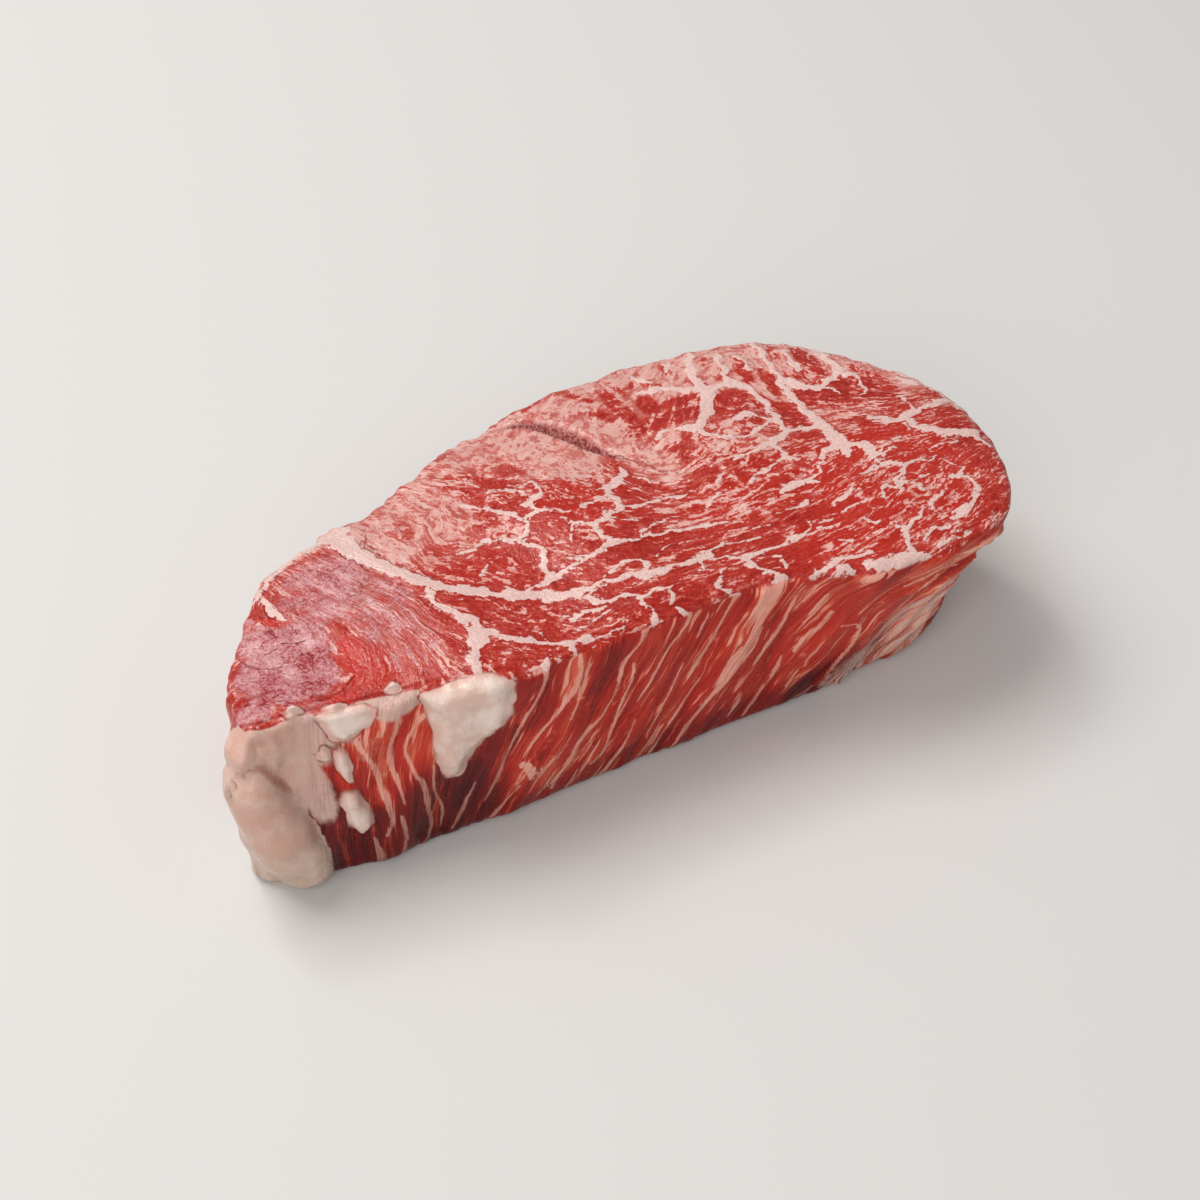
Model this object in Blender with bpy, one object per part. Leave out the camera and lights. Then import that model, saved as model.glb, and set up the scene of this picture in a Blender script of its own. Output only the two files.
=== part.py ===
"""Raw beef tenderloin steak: one thick slab of meat, cut across the muscle, with its fat lumps.

One solid, "steak". The top cut is crowned, the wall follows an uneven outline whose foot stands
out at one end and draws in at the other, and the under side is flat. The slab is made in
millimetres and turned into metres when its mesh is written.
"""
import math

import bmesh
import bpy
import numpy as np

MM = 0.001

# Driving dimensions of the slab
THICKNESS = 34.0      # board to the edge of the top cut
CROWN = 1.2           # how far the middle of the top cut stands above its edge
TOP_EDGE = 2.0        # radius between the top cut and the wall
FOOT_EDGE = 2.4       # radius between the wall and the flat under side
BELLY = 0.8           # how far the wall swells half way down
WAIST = 0.3           # hollow of the wall, for each millimetre that its foot draws in past WAIST_FROM
WAIST_FROM = 3.0

# Rim of the top cut, anticlockwise from above. Each station is x, y, and how far the foot stands
# outside the rim there. Each side starts at a corner of the slab.
FRONT = [(-69.6, -18.0, 4.6), (-61.0, -19.3, 6.0), (-50.0, -21.0, 5.4), (-40.5, -23.0, 3.4),
         (-27.6, -26.4, 0.0), (-13.0, -26.0, 0.6), (4.0, -25.9, 0.7), (20.8, -26.2, 0.3),
         (31.4, -30.4, -4.2), (41.5, -32.8, -7.2), (53.0, -33.2, -8.8)]
RIGHT = [(61.4, -31.6, -10.2), (67.6, -27.0, -10.0), (72.2, -18.0, -8.2), (73.2, -6.4, -6.0),
         (71.4, 5.0, -4.5), (66.2, 13.4, -3.5)]
BACK = [(58.4, 23.4, -3.0), (47.6, 31.2, -3.0), (33.0, 33.8, -2.5), (14.0, 34.4, -2.0),
        (0.2, 32.8, -2.0), (-13.8, 29.4, -2.0), (-26.4, 23.0, -2.0), (-40.8, 18.4, -2.0)]
LEFT = [(-54.4, 13.6, -2.0), (-61.4, 6.2, -1.5), (-66.8, -3.0, -0.5), (-69.8, -11.2, 1.0)]

# Mesh density, in cells
LONG_CELLS = 54       # along the front and the back
SHORT_CELLS = 26      # along each end
EDGE_ROWS = 3         # round each of the two edges
WALL_ROWS = 10        # down the wall between them
CURVE_STEPS = 30      # fine steps between two stations of the rim

# Relief of the cut faces
TOP_SWELL = 0.35      # height of the broad swells on the top cut
TOP_SWELL_PITCH = 26.0
FLUTE_HEIGHT = 0.45   # height of the slanting flutes down the wall
FLUTE_PITCH = 13.0
FLUTE_LEAN = 0.5      # how far a flute moves along the wall for each millimetre down

# Lumps of fat that stand out of the slab: centre, then half sizes
LUMPS = {
    "end_chunk": ((-66.0, -19.8, 10.4), (7.2, 7.4, 12.4)),
    "end_collar": ((-67.4, -17.2, 23.8), (7.3, 5.8, 9.8)),
    "front_pad": ((-33.4, -23.9, 28.0), (6.4, 3.4, 5.6)),
    "front_pad_tail": ((-37.2, -23.9, 20.6), (3.4, 3.0, 7.0)),
    "left_pad": ((-54.4, -18.8, 29.4), (5.2, 4.0, 3.8)),
    "right_lump": ((39.2, -31.0, 31.2), (5.6, 3.4, 3.4)),
    "nub_low": ((-56.0, -23.4, 14.5), (2.2, 2.6, 4.5)),
    "nub_high": ((-56.8, -22.0, 23.0), (2.0, 2.2, 2.8)),
}
LUMP_SQUARE = 0.82    # below 1, the lumps are boxier than an ellipsoid
LUMP_UNEVEN = 0.05    # how far a lump's skin wanders, as a share of its size
LUMP_PITCH = 1.1      # distance between its swells, as a share of its size
LARGE_LUMP = 5.0      # half size from which a lump gets the finer of the two details
LUMP_DETAILS = (2, 3)   # subdivisions of a small and of a large lump

# Crevice in the top cut, from the back rim inwards: x, y
CREVICE = [(-5.0, 30.4), (0.4, 27.8), (4.2, 23.0), (7.4, 17.6), (10.6, 13.4)]
CREVICE_WIDTH = 2.6   # across its mouth, half way along
CREVICE_DEPTH = 3.2
CREVICE_LEAN = 0.9    # how far its bottom lies under the near lip
CREVICE_END = 0.35    # its size at either end, as a share of the size half way along
CREVICE_STEPS = 16    # lengths that it is made of
CUTTER_RISE = 4.0     # how far its cutter stands above the top cut

MEAT_COLOUR = (0.42, 0.045, 0.04, 1.0)
MEAT_ROUGHNESS = 0.34


def clear_scene():
    """Remove every object, so that the file holds the steak alone."""
    for item in list(bpy.data.objects):
        bpy.data.objects.remove(item, do_unlink=True)


def smooth_step(values):
    """Ease from 0 to 1."""
    t = np.clip(values, 0.0, 1.0)
    return t * t * (3.0 - 2.0 * t)


def ripples(u, v, pitch, seed, waves=9):
    """Random bumps of about unit height, as a sum of sine waves in seeded directions."""
    rng = np.random.default_rng(seed)
    total = np.zeros(np.shape(u))
    for _ in range(waves):
        angle, phase = rng.uniform(0.0, math.tau, 2)
        length = pitch * rng.uniform(0.7, 1.6)
        total += np.sin(math.tau * (u * math.cos(angle) + v * math.sin(angle)) / length + phase)
    return total / math.sqrt(waves / 2)


def spline(points, steps, closed):
    """Catmull-Rom curve through points, with the same number of steps in each span."""
    points = np.asarray(points, float)
    count = len(points)
    spans = count if closed else count - 1
    places = []
    for span in range(spans):
        picks = [span - 1, span, span + 1, span + 2]
        wrapped = [pick % count if closed else min(max(pick, 0), count - 1) for pick in picks]
        before, start, end, after = points[wrapped]
        for step in range(steps):
            t = step / steps
            places.append(0.5 * (2 * start + (end - before) * t
                                 + (2 * before - 5 * start + 4 * end - after) * t ** 2
                                 + (3 * start - before - 3 * end + after) * t ** 3))
    places.append(points[0] if closed else points[-1])
    return np.array(places)


def even_side(curve, cells):
    """Cells of equal length along a curve, without its last point."""
    lengths = np.hypot(*np.diff(curve[:, :2], axis=0).T)
    along = np.concatenate([[0.0], np.cumsum(lengths)])
    stops = np.linspace(0.0, along[-1], cells + 1)[:-1]
    return np.stack([np.interp(stops, along, column) for column in curve.T], axis=1)


def rim_loop():
    """The rim's columns, anticlockwise from the left front corner: x, y and foot offset."""
    sides = [FRONT, RIGHT, BACK, LEFT]
    counts = [LONG_CELLS, SHORT_CELLS, LONG_CELLS, SHORT_CELLS]
    curve = spline(sum(sides, []), CURVE_STEPS, closed=True)
    columns, start = [], 0
    for side, cells in zip(sides, counts):
        end = start + len(side) * CURVE_STEPS
        columns.append(even_side(curve[start:end + 1], cells))
        start = end
    return np.concatenate(columns)


def outward(loop):
    """Unit vectors that point out of a loop that runs anticlockwise."""
    tangent = np.roll(loop, -1, axis=0) - np.roll(loop, 1, axis=0)
    normal = np.stack([tangent[:, 1], -tangent[:, 0]], axis=1)
    return normal / np.linalg.norm(normal, axis=1, keepdims=True)


def wall_rows(columns):
    """Rows of the wall, top to bottom, each as points and the directions that relief moves them."""
    rim, lean = columns[:, :2], columns[:, 2]
    out = outward(rim)
    quarter = np.linspace(0.0, math.pi / 2, EDGE_ROWS + 1)
    belly = BELLY + WAIST * np.minimum(lean + WAIST_FROM, 0.0)
    rows = []
    for angle in quarter:
        offset = np.full(len(rim), TOP_EDGE * (math.sin(angle) - 1.0))
        rows.append((offset, THICKNESS - TOP_EDGE * (1.0 - math.cos(angle)), angle, 1.0))
    for row in range(1, WALL_ROWS):
        share = row / WALL_ROWS
        offset = lean * share + belly * math.sin(math.pi * share)
        height = THICKNESS - TOP_EDGE - share * (THICKNESS - TOP_EDGE - FOOT_EDGE)
        rows.append((offset, height, math.pi / 2, 1.0))
    for angle in quarter:
        offset = lean - FOOT_EDGE * (1.0 - math.cos(angle))
        fade = 1.0 - angle / quarter[-1]
        rows.append((offset, FOOT_EDGE * (1.0 - math.sin(angle)), math.pi / 2, fade))
    points, pushes = [], []
    for offset, height, angle, fade in rows:
        place = rim + out * offset[:, None]
        points.append(np.column_stack([place, np.full(len(rim), height)]))
        level = np.full(len(rim), math.cos(angle) * fade)
        pushes.append(np.column_stack([out * math.sin(angle) * fade, level]))
    return np.array(points), np.array(pushes)


def patch(loop):
    """Coons patch inside a loop of columns, as a grid of points with its edges on the loop."""
    front = loop[:LONG_CELLS + 1]
    right = loop[LONG_CELLS:LONG_CELLS + SHORT_CELLS + 1]
    back = loop[LONG_CELLS + SHORT_CELLS:2 * LONG_CELLS + SHORT_CELLS + 1][::-1]
    left = np.concatenate([loop[2 * LONG_CELLS + SHORT_CELLS:], loop[:1]])[::-1]
    u = np.linspace(0.0, 1.0, LONG_CELLS + 1)[None, :, None]
    v = np.linspace(0.0, 1.0, SHORT_CELLS + 1)[:, None, None]
    ruled = (1 - v) * front[None] + v * back[None] + (1 - u) * left[:, None] + u * right[:, None]
    corners = ((1 - u) * (1 - v) * front[0] + u * (1 - v) * front[-1]
               + (1 - u) * v * back[0] + u * v * back[-1])
    return ruled - corners


def crown():
    """Height of the top cut over its edge, on the patch's grid."""
    u = np.linspace(0.0, math.pi, LONG_CELLS + 1)[None, :]
    v = np.linspace(0.0, math.pi, SHORT_CELLS + 1)[:, None]
    return CROWN * np.sqrt(np.sin(u) * np.sin(v))


def relief(points):
    """Height of the surface over the plain slab, at any of its points."""
    x, y, z = points.T
    on_top = smooth_step((z - THICKNESS + TOP_EDGE) / TOP_EDGE)
    height = on_top * TOP_SWELL * ripples(x, y, TOP_SWELL_PITCH, seed=3)
    along = x - FLUTE_LEAN * z
    flutes = ripples(along, y + 0.15 * z, FLUTE_PITCH, seed=8)
    return height + (1.0 - on_top) * FLUTE_HEIGHT * flutes


def slab_mesh():
    """Closed mesh of the slab: top patch, wall and one flat face under it."""
    columns = rim_loop()
    around = len(columns)
    wall, wall_push = wall_rows(columns)
    top = patch(wall[0])
    top[..., 2] += crown()
    inner = top[1:-1, 1:-1].reshape(-1, 3)
    base = np.concatenate([wall.reshape(-1, 3), inner])
    push = np.concatenate([wall_push.reshape(-1, 3), np.tile((0.0, 0.0, 1.0), (len(inner), 1))])
    points = base + push * relief(base)[:, None]

    faces = []
    for row in range(len(wall) - 1):
        for column in range(around):
            after = (column + 1) % around
            upper, lower = row * around, (row + 1) * around
            faces.append((upper + column, lower + column, lower + after, upper + after))
    grid = top_indices(around, len(wall))
    for row in range(SHORT_CELLS):
        for cell in range(LONG_CELLS):
            faces.append((grid[row, cell], grid[row, cell + 1],
                          grid[row + 1, cell + 1], grid[row + 1, cell]))
    under = (len(wall) - 1) * around
    faces.append(tuple(under + column for column in reversed(range(around))))
    return points, faces


def top_indices(around, rows):
    """Vertex numbers of the top patch: its edge is the wall's first row."""
    grid = np.zeros((SHORT_CELLS + 1, LONG_CELLS + 1), int)
    grid[0, :] = range(LONG_CELLS + 1)
    grid[:, -1] = LONG_CELLS + np.arange(SHORT_CELLS + 1)
    grid[-1, ::-1] = LONG_CELLS + SHORT_CELLS + np.arange(LONG_CELLS + 1)
    grid[1:, 0] = (2 * LONG_CELLS + SHORT_CELLS + np.arange(SHORT_CELLS))[::-1]
    grid[0, 0] = 0
    grid[1:-1, 1:-1] = around * rows + np.arange(
        (SHORT_CELLS - 1) * (LONG_CELLS - 1)).reshape(SHORT_CELLS - 1, LONG_CELLS - 1)
    return grid


def new_object(name, points, faces):
    """Mesh object from points in millimetres."""
    mesh = bpy.data.meshes.new(name)
    mesh.from_pydata([tuple(point) for point in np.asarray(points) * MM], [], faces)
    mesh.update()
    item = bpy.data.objects.new(name, mesh)
    bpy.context.scene.collection.objects.link(item)
    return item


def make_lump(name, centre, halves, seed):
    """Uneven rounded lump of fat."""
    detail = LUMP_DETAILS[max(halves) > LARGE_LUMP]
    bpy.ops.mesh.primitive_ico_sphere_add(subdivisions=detail, radius=1.0)
    item = bpy.context.object
    item.name = name
    item.data.name = name
    ball = np.array([vertex.co[:] for vertex in item.data.vertices])
    ball = np.sign(ball) * np.abs(ball) ** LUMP_SQUARE
    wander = ripples(ball[:, 0] + ball[:, 2], ball[:, 1] - ball[:, 2], LUMP_PITCH, seed)
    places = np.array(centre) + ball * np.array(halves) * (1.0 + LUMP_UNEVEN * wander[:, None])
    places[:, 2] = np.maximum(places[:, 2], 0.0)
    item.data.vertices.foreach_set("co", (places * MM).ravel())
    item.data.update()
    return item


def crevice_cutter():
    """Thin leaning wedge along the crevice, which tapers out at both of its ends."""
    spans = len(CREVICE) - 1
    line = spline(CREVICE, CREVICE_STEPS // spans, closed=False)
    ahead = np.gradient(line, axis=0)
    across = np.stack([ahead[:, 1], -ahead[:, 0]], axis=1)
    across /= np.linalg.norm(across, axis=1, keepdims=True)
    share = np.linspace(0.0, 1.0, len(line))
    swell = CREVICE_END + (1.0 - CREVICE_END) * np.sin(math.pi * share)
    half = across * CREVICE_WIDTH / 2 * swell[:, None]
    near, far = line + half, line - half
    deep = line + across * CREVICE_LEAN
    mouth = THICKNESS + CROWN + CUTTER_RISE
    floor = THICKNESS + CROWN / 2 - CREVICE_DEPTH * swell
    points = np.concatenate([np.column_stack([near, np.full(len(line), mouth)]),
                             np.column_stack([far, np.full(len(line), mouth)]),
                             np.column_stack([deep, floor])])
    count = len(line)
    faces = [(0, count, 2 * count), (count - 1, 3 * count - 1, 2 * count - 1)]
    for step in range(count - 1):
        for first, second in ((0, 2 * count), (2 * count, count), (count, 0)):
            faces.append((first + step, second + step, second + step + 1, first + step + 1))
    cutter = new_object("crevice_cutter", points, faces)
    shape = bmesh.new()
    shape.from_mesh(cutter.data)
    bmesh.ops.recalc_face_normals(shape, faces=shape.faces)
    shape.to_mesh(cutter.data)
    shape.free()
    cutter.hide_render = True
    cutter.display_type = "WIRE"
    return cutter


def fuse_lumps(steak):
    """Join the lumps of fat to the slab in one Boolean union, then remove them."""
    lumps = bpy.data.collections.new("lumps")
    bpy.context.scene.collection.children.link(lumps)
    for seed, (name, (centre, halves)) in enumerate(LUMPS.items(), start=20):
        lump = make_lump(name, centre, halves, seed)
        for owner in list(lump.users_collection):
            owner.objects.unlink(lump)
        lumps.objects.link(lump)
    union = steak.modifiers.new("fuse_lumps", "BOOLEAN")
    union.operation = "UNION"
    union.operand_type = "COLLECTION"
    union.collection = lumps
    bpy.context.view_layer.objects.active = steak
    bpy.ops.object.modifier_apply(modifier=union.name)
    for lump in list(lumps.objects):
        bpy.data.objects.remove(lump, do_unlink=True)
    bpy.data.collections.remove(lumps)


def cut_crevice(steak):
    """Cut the crevice out of the top cut, and remove its cutter."""
    cutter = crevice_cutter()
    cut = steak.modifiers.new("cut_crevice", "BOOLEAN")
    cut.operation = "DIFFERENCE"
    cut.object = cutter
    bpy.context.view_layer.objects.active = steak
    bpy.ops.object.modifier_apply(modifier=cut.name)
    bpy.data.objects.remove(cutter, do_unlink=True)


def centre_on_origin(steak):
    """Put the origin at the middle of the under side."""
    points = np.array([vertex.co[:] for vertex in steak.data.vertices])
    low, high = points.min(axis=0), points.max(axis=0)
    points -= ((low[0] + high[0]) / 2, (low[1] + high[1]) / 2, low[2])
    steak.data.vertices.foreach_set("co", points.ravel())
    steak.data.update()


def meat_material():
    """Moist raw meat."""
    material = bpy.data.materials.new("meat")
    material.use_nodes = True
    shader = material.node_tree.nodes["Principled BSDF"]
    shader.inputs["Base Color"].default_value = MEAT_COLOUR
    shader.inputs["Roughness"].default_value = MEAT_ROUGHNESS
    shader.inputs["Metallic"].default_value = 0.0
    return material


def make_steak():
    """The whole steak as one solid."""
    steak = new_object("steak", *slab_mesh())
    fuse_lumps(steak)
    cut_crevice(steak)
    centre_on_origin(steak)
    steak.data.materials.clear()
    steak.data.materials.append(meat_material())
    steak.data.shade_smooth()
    return steak


clear_scene()
make_steak()
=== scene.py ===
"""Looks of the raw beef tenderloin steak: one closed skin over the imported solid's form.

The skin is the solid's own slab at a finer mesh, with the relief that the solid is too coarse for.
What the meat looks like at a point, its fibres, seams and patches, is worked out in numpy and
stored on the skin's vertices, and the material's nodes turn that into colour, gloss and grain.
Lengths are in millimetres, in the slab's own frame, until the skin's mesh is written.
"""
import math

import bpy
import numpy as np
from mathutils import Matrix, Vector


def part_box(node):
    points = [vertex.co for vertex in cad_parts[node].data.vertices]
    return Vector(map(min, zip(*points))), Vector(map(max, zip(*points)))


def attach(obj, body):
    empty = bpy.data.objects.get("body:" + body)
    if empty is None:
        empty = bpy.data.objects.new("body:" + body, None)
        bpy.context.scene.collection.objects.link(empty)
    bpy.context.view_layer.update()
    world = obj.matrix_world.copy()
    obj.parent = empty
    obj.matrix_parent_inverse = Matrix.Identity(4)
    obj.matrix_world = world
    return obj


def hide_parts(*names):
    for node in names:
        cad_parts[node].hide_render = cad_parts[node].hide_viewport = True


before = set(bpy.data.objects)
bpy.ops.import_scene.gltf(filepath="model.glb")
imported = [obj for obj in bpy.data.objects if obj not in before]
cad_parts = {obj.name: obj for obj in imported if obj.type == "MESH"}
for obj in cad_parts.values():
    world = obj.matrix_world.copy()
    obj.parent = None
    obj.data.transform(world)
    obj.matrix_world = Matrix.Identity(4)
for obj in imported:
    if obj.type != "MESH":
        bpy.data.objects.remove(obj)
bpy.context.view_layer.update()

MM = 0.001

# The slab, as the solid has it
THICKNESS = 34.0
CROWN = 1.2
TOP_EDGE = 2.0
FOOT_EDGE = 2.4
BELLY = 0.8
WAIST = 0.3
WAIST_FROM = 3.0
FRONT = [(-69.6, -18.0, 4.6), (-61.0, -19.3, 6.0), (-50.0, -21.0, 5.4), (-40.5, -23.0, 3.4),
         (-27.6, -26.4, 0.0), (-13.0, -26.0, 0.6), (4.0, -25.9, 0.7), (20.8, -26.2, 0.3),
         (31.4, -30.4, -4.2), (41.5, -32.8, -7.2), (53.0, -33.2, -8.8)]
RIGHT = [(61.4, -31.6, -10.2), (67.6, -27.0, -10.0), (72.2, -18.0, -8.2), (73.2, -6.4, -6.0),
         (71.4, 5.0, -4.5), (66.2, 13.4, -3.5)]
BACK = [(58.4, 23.4, -3.0), (47.6, 31.2, -3.0), (33.0, 33.8, -2.5), (14.0, 34.4, -2.0),
        (0.2, 32.8, -2.0), (-13.8, 29.4, -2.0), (-26.4, 23.0, -2.0), (-40.8, 18.4, -2.0)]
LEFT = [(-54.4, 13.6, -2.0), (-61.4, 6.2, -1.5), (-66.8, -3.0, -0.5), (-69.8, -11.2, 1.0)]
TOP_SWELL = 0.35
TOP_SWELL_PITCH = 26.0
FLUTE_HEIGHT = 0.45
FLUTE_PITCH = 13.0
FLUTE_LEAN = 0.5
CREVICE = [(-8.0, 30.2), (-3.0, 29.2), (0.6, 27.4), (4.2, 23.0), (7.4, 17.6), (9.6, 14.2), (12.0, 11.4)]
CREVICE_HALF = [0.3, 0.7, 1.3, 1.8, 1.7, 0.9, 0.3]
CREVICE_DEPTH = 2.8

# Rounded lumps of fat at the narrow end: centre, half sizes, and how far they lean to the left
LUMPS = [((-66.2, -19.8, 8.6), (6.0, 7.6, 11.6), 0.24), ((-68.6, -18.8, 15.0), (5.2, 6.8, 13.0), 0.16),
         ((-66.2, -17.6, 24.6), (6.8, 5.4, 11.4), 0.05)]
LUMP_SQUARE = 0.82
LUMP_TOP = 30.8       # the lumps fade out from this height up
LUMP_FADE = 3.0
LUMP_MELT = 6.0       # the lumps' heights add up with this power, so that they run into each other
LUMP_SEARCH = 2.2     # how far out a lump's skin is looked for, in its largest half size
LUMP_STEPS = 56
LUMP_NEAR = 2.1       # how near the lump a point has to be for that
FAT_MELT = 0.8        # height of fat over which the meat's relief gives way to the fat's
FAT_SMOOTH = 0.6      # how much of the meat's relief the fat hides
# Creases in that fat, as the camera sees them on the plane y = CREASE_PLANE. Each point is x, z,
# half width.
FAT_CREASES = [[(-76, 26.6, 0.9), (-74.6, 28.8, 0.9), (-72, 30.4, 0.9), (-69.6, 29.4, 0.9),
                (-67.4, 25.8, 0.9), (-65, 21.6, 1.0), (-62.8, 17.4, 1.0), (-61.6, 12.6, 1.0),
                (-60.8, 8, 0.8)],
               [(-71.4, 40.6, 0.4), (-71.3, 37.9, 0.4), (-71, 34.9, 0.4), (-70.5, 32, 0.4)],
               [(-63.6, 37, 0.5), (-62.8, 33.6, 0.5), (-61.8, 30, 0.5), (-61.4, 26.6, 0.5)],
               [(-67.6, 34.6, 0.3), (-67, 32, 0.3), (-67, 29, 0.2)]]
CREASE_PLANE = -23.0
SIGHT = (0.509, -1.162)   # how far the line of sight goes in x and in z for each millimetre in y
CREASE_DEPTH = 1.5
CREASE_EASE = 1.15    # how far a crease's slope reaches, in its half widths
COLLAR_STEP = 2.4     # how far the fat over the first crease lies back
FACET_FROM = -72.2    # x from which it does

# Pads of fat on the front wall, as outlines in x and in height up the wall and on over the edge
# of the top cut, with how far the pad stands out and how wide its rounded edge is
PADS = [
    ([(-41.8, 34), (-42.2, 31.6), (-41.4, 28), (-41.4, 23), (-40.8, 17.4), (-38.8, 14.6), (-37, 15.8),
      (-35, 19.6), (-31.6, 22.8), (-29.2, 25.2), (-27.9, 28.6), (-27.4, 32), (-28.6, 34.6),
      (-31.6, 35.8), (-36, 35.4), (-39.4, 34.4)], 1.5, 2.8),
    ([(-58.8, 33.6), (-57.2, 34.4), (-54, 34.6), (-51, 34.4), (-49.2, 33), (-50.2, 30), (-52.6, 28.8),
      (-54.8, 27.4), (-57, 28.6), (-57.8, 31.4)], 0.9, 1.8),
    ([(-59.8, 26.4), (-58.8, 27.4), (-57.7, 27), (-57.5, 25.6), (-58.6, 25), (-59.6, 25.2)], 0.8, 0.7),
    ([(-57.2, 25.8), (-56.2, 26.5), (-55, 25.8), (-54.8, 22.6), (-55.6, 20.8), (-56.7, 21.4),
      (-57.2, 23.6)], 1.2, 0.8),
    ([(-57.6, 17.4), (-56.6, 18.9), (-55, 18.8), (-54.2, 16.4), (-53.2, 13), (-53.2, 10),
      (-55, 8.6), (-56.8, 10.4), (-57.4, 13.8)], 1.2, 1.2),
    ([(-62.8, 36), (-61.8, 37.1), (-60.3, 36.8), (-59.8, 35.6), (-61, 35), (-62.4, 35.1)], 1.0, 0.9),
    ([(-57, 35.2), (-55.4, 36.2), (-53.6, 35.8), (-52.9, 34.9), (-54.6, 34.4), (-56.4, 34.5)], 0.9, 0.9),
    ([(-46.8, 36.2), (-45.7, 37.4), (-44.4, 37), (-44.2, 35.7), (-45.4, 35.1), (-46.6, 35.3)], 0.8, 0.9),
]
PAD_RAGGED = (0.14, 0.34)   # how far the pads' outlines wander, at the narrow and at the far end
PAD_PITCH = 2.6
# Fat that shows without standing out: centre, half sizes
FAT_COVER = [((-67.6, -15.0, 12.0), (7.4, 9.6, 16.0)), ((-67.0, -17.0, 26.0), (7.6, 6.4, 10.0))]
FAT_TOP = 34.3        # where that fat ends, on over the edge of the top cut
FAT_SLOPE = 8.0       # how much lower it ends on the left side, from this y on
SLOPE_FROM = -16.5
SLOPE_RUN = 6.0
CHUNK_END = -50.0     # x up to which fat is part of the chunk at the narrow end
FAT_FOOT = 8.0        # the fat's outline stays the same from here down
# Folds of the thin skin at the far foot of the front wall. Each point is x, z, half width.
FOLDS = [[(35, 2.2, 0.4), (42, 4.6, 0.7), (47, 9, 0.8), (50.5, 15, 0.9), (54, 20, 0.8), (60, 25, 0.5)],
         [(40, 1.2, 0.4), (47, 3.6, 0.8), (52, 9, 0.9), (56, 15, 0.8), (62, 21.6, 0.5)],
         [(46, 0.8, 0.4), (53, 3.6, 0.8), (58, 9.6, 0.8), (64, 17, 0.5)],
         [(44, 24.6, 0.4), (50, 26.4, 0.6), (57, 29.4, 0.5), (64, 31, 0.3)],
         [(30, 4.6, 0.3), (34.6, 10, 0.4), (36.8, 15.6, 0.4), (36, 19.6, 0.3)]]
FOOT_TAPER = 1.4      # how far the narrow end's foot is drawn in
TAPER_HEIGHT = 11.0   # height up to which it is
TAPER_FROM = -64.0    # x from which it starts, and how soon it is full
TAPER_RUN = 5.0
FOLD_HEIGHT = 0.85
FOLD_CORE = 0.2       # half width of a fold's crest, and the width of its slope, in half widths
FOLD_SLOPE = 1.5
SEAM_HEIGHT = 0.14    # how far the white seams stand out of the meat
# Fine relief, as height and pitch: ridges along the top's fibres, along the wall's fibres and down
# the rim, and broad and small bumps in the lumps of fat
TOP_RIDGE, TOP_RIDGE_PITCH = 0.07, 2.6
WALL_RIDGE, WALL_RIDGE_PITCH = 0.15, 2.4
RIM_RIDGE, RIM_RIDGE_PITCH = 0.09, 4.6
FAT_BUMP, FAT_BUMP_PITCH = 0.14, 8.0
FAT_GRAIN, FAT_GRAIN_PITCH = 0.03, 3.4
TOP_STRETCH = 0.35    # a ridge's width as a share of its length, on the top and on the wall
WALL_STRETCH = 0.14
RIM_BAND = 1.0        # half height of the band of ridges round the rim

# Mesh density, in cells
LONG_CELLS = 240
SHORT_CELLS = 108
EDGE_ROWS = 6
WALL_ROWS = 46
CURVE_STEPS = 40

# Directions of the fibres on the top cut: x, y, degrees from +X
FIBRES = [(-68, -10, 75), (-62, -4, 20), (-60, -14, -5), (-56, -8, 25), (-55, -18, -8),
          (-51.4, -18.9, 4), (-49.6, -9.6, 100), (-45.4, -11.4, 80), (-44.8, -14.4, 60),
          (-47.6, -17.8, 34), (-47.4, -6, 118), (-50, -3, 138), (-40.6, -12, 95), (-41, -17, 60),
          (-42, -6, 112), (-36, -12, 125), (-34, -18, 150), (-44, 0, 115), (-48, 8, 110),
          (-38, 4, 125), (-33, 10, 120), (-25, 12, 80), (-30, 18, 150), (-22, 20, 150),
          (-15, 16, 140), (-14, 24, 130), (-24, 4, 172), (-20, -3, 165),
          (-24, -9, 150), (-14, -14, 155), (-22, -20, 150), (-10, -20, 175), (-8, -5, 150),
          (-5, 2, 145), (-4, 14, 145), (2, 9, 148), (6, 22, 130), (2, -2, 165), (4, -12, 182),
          (2, -21, 180), (12, 5, 135), (16, 9, 120), (13, 17, 80), (17, 23, 90), (12, -4, 172),
          (12, -13, 192), (14, -20, 180), (22, -6, 194), (22, 6, 185), (24, 2, 198), (30, -2, 205),
          (32, -8, 200), (30, -14, 190), (30, -22, 184), (40, -3, 212), (42, -10, 208),
          (42, -18, 190), (48, -9, 220), (54, -12, 178), (52, -21, 195), (44, -26, 200),
          (56, -25, 208), (63, -22, 215), (34, 12, 145), (27, 21, 158), (24, 28, 140), (36, 26, 100),
          (44, 17, 92), (44, 8, 112), (50, 10, 140), (54, 20, 88), (50, 27, 84), (54, 3, 165),
          (60, 8, 140), (62, 14, 110), (66, 3, 170), (68, -6, 175)]
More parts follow.
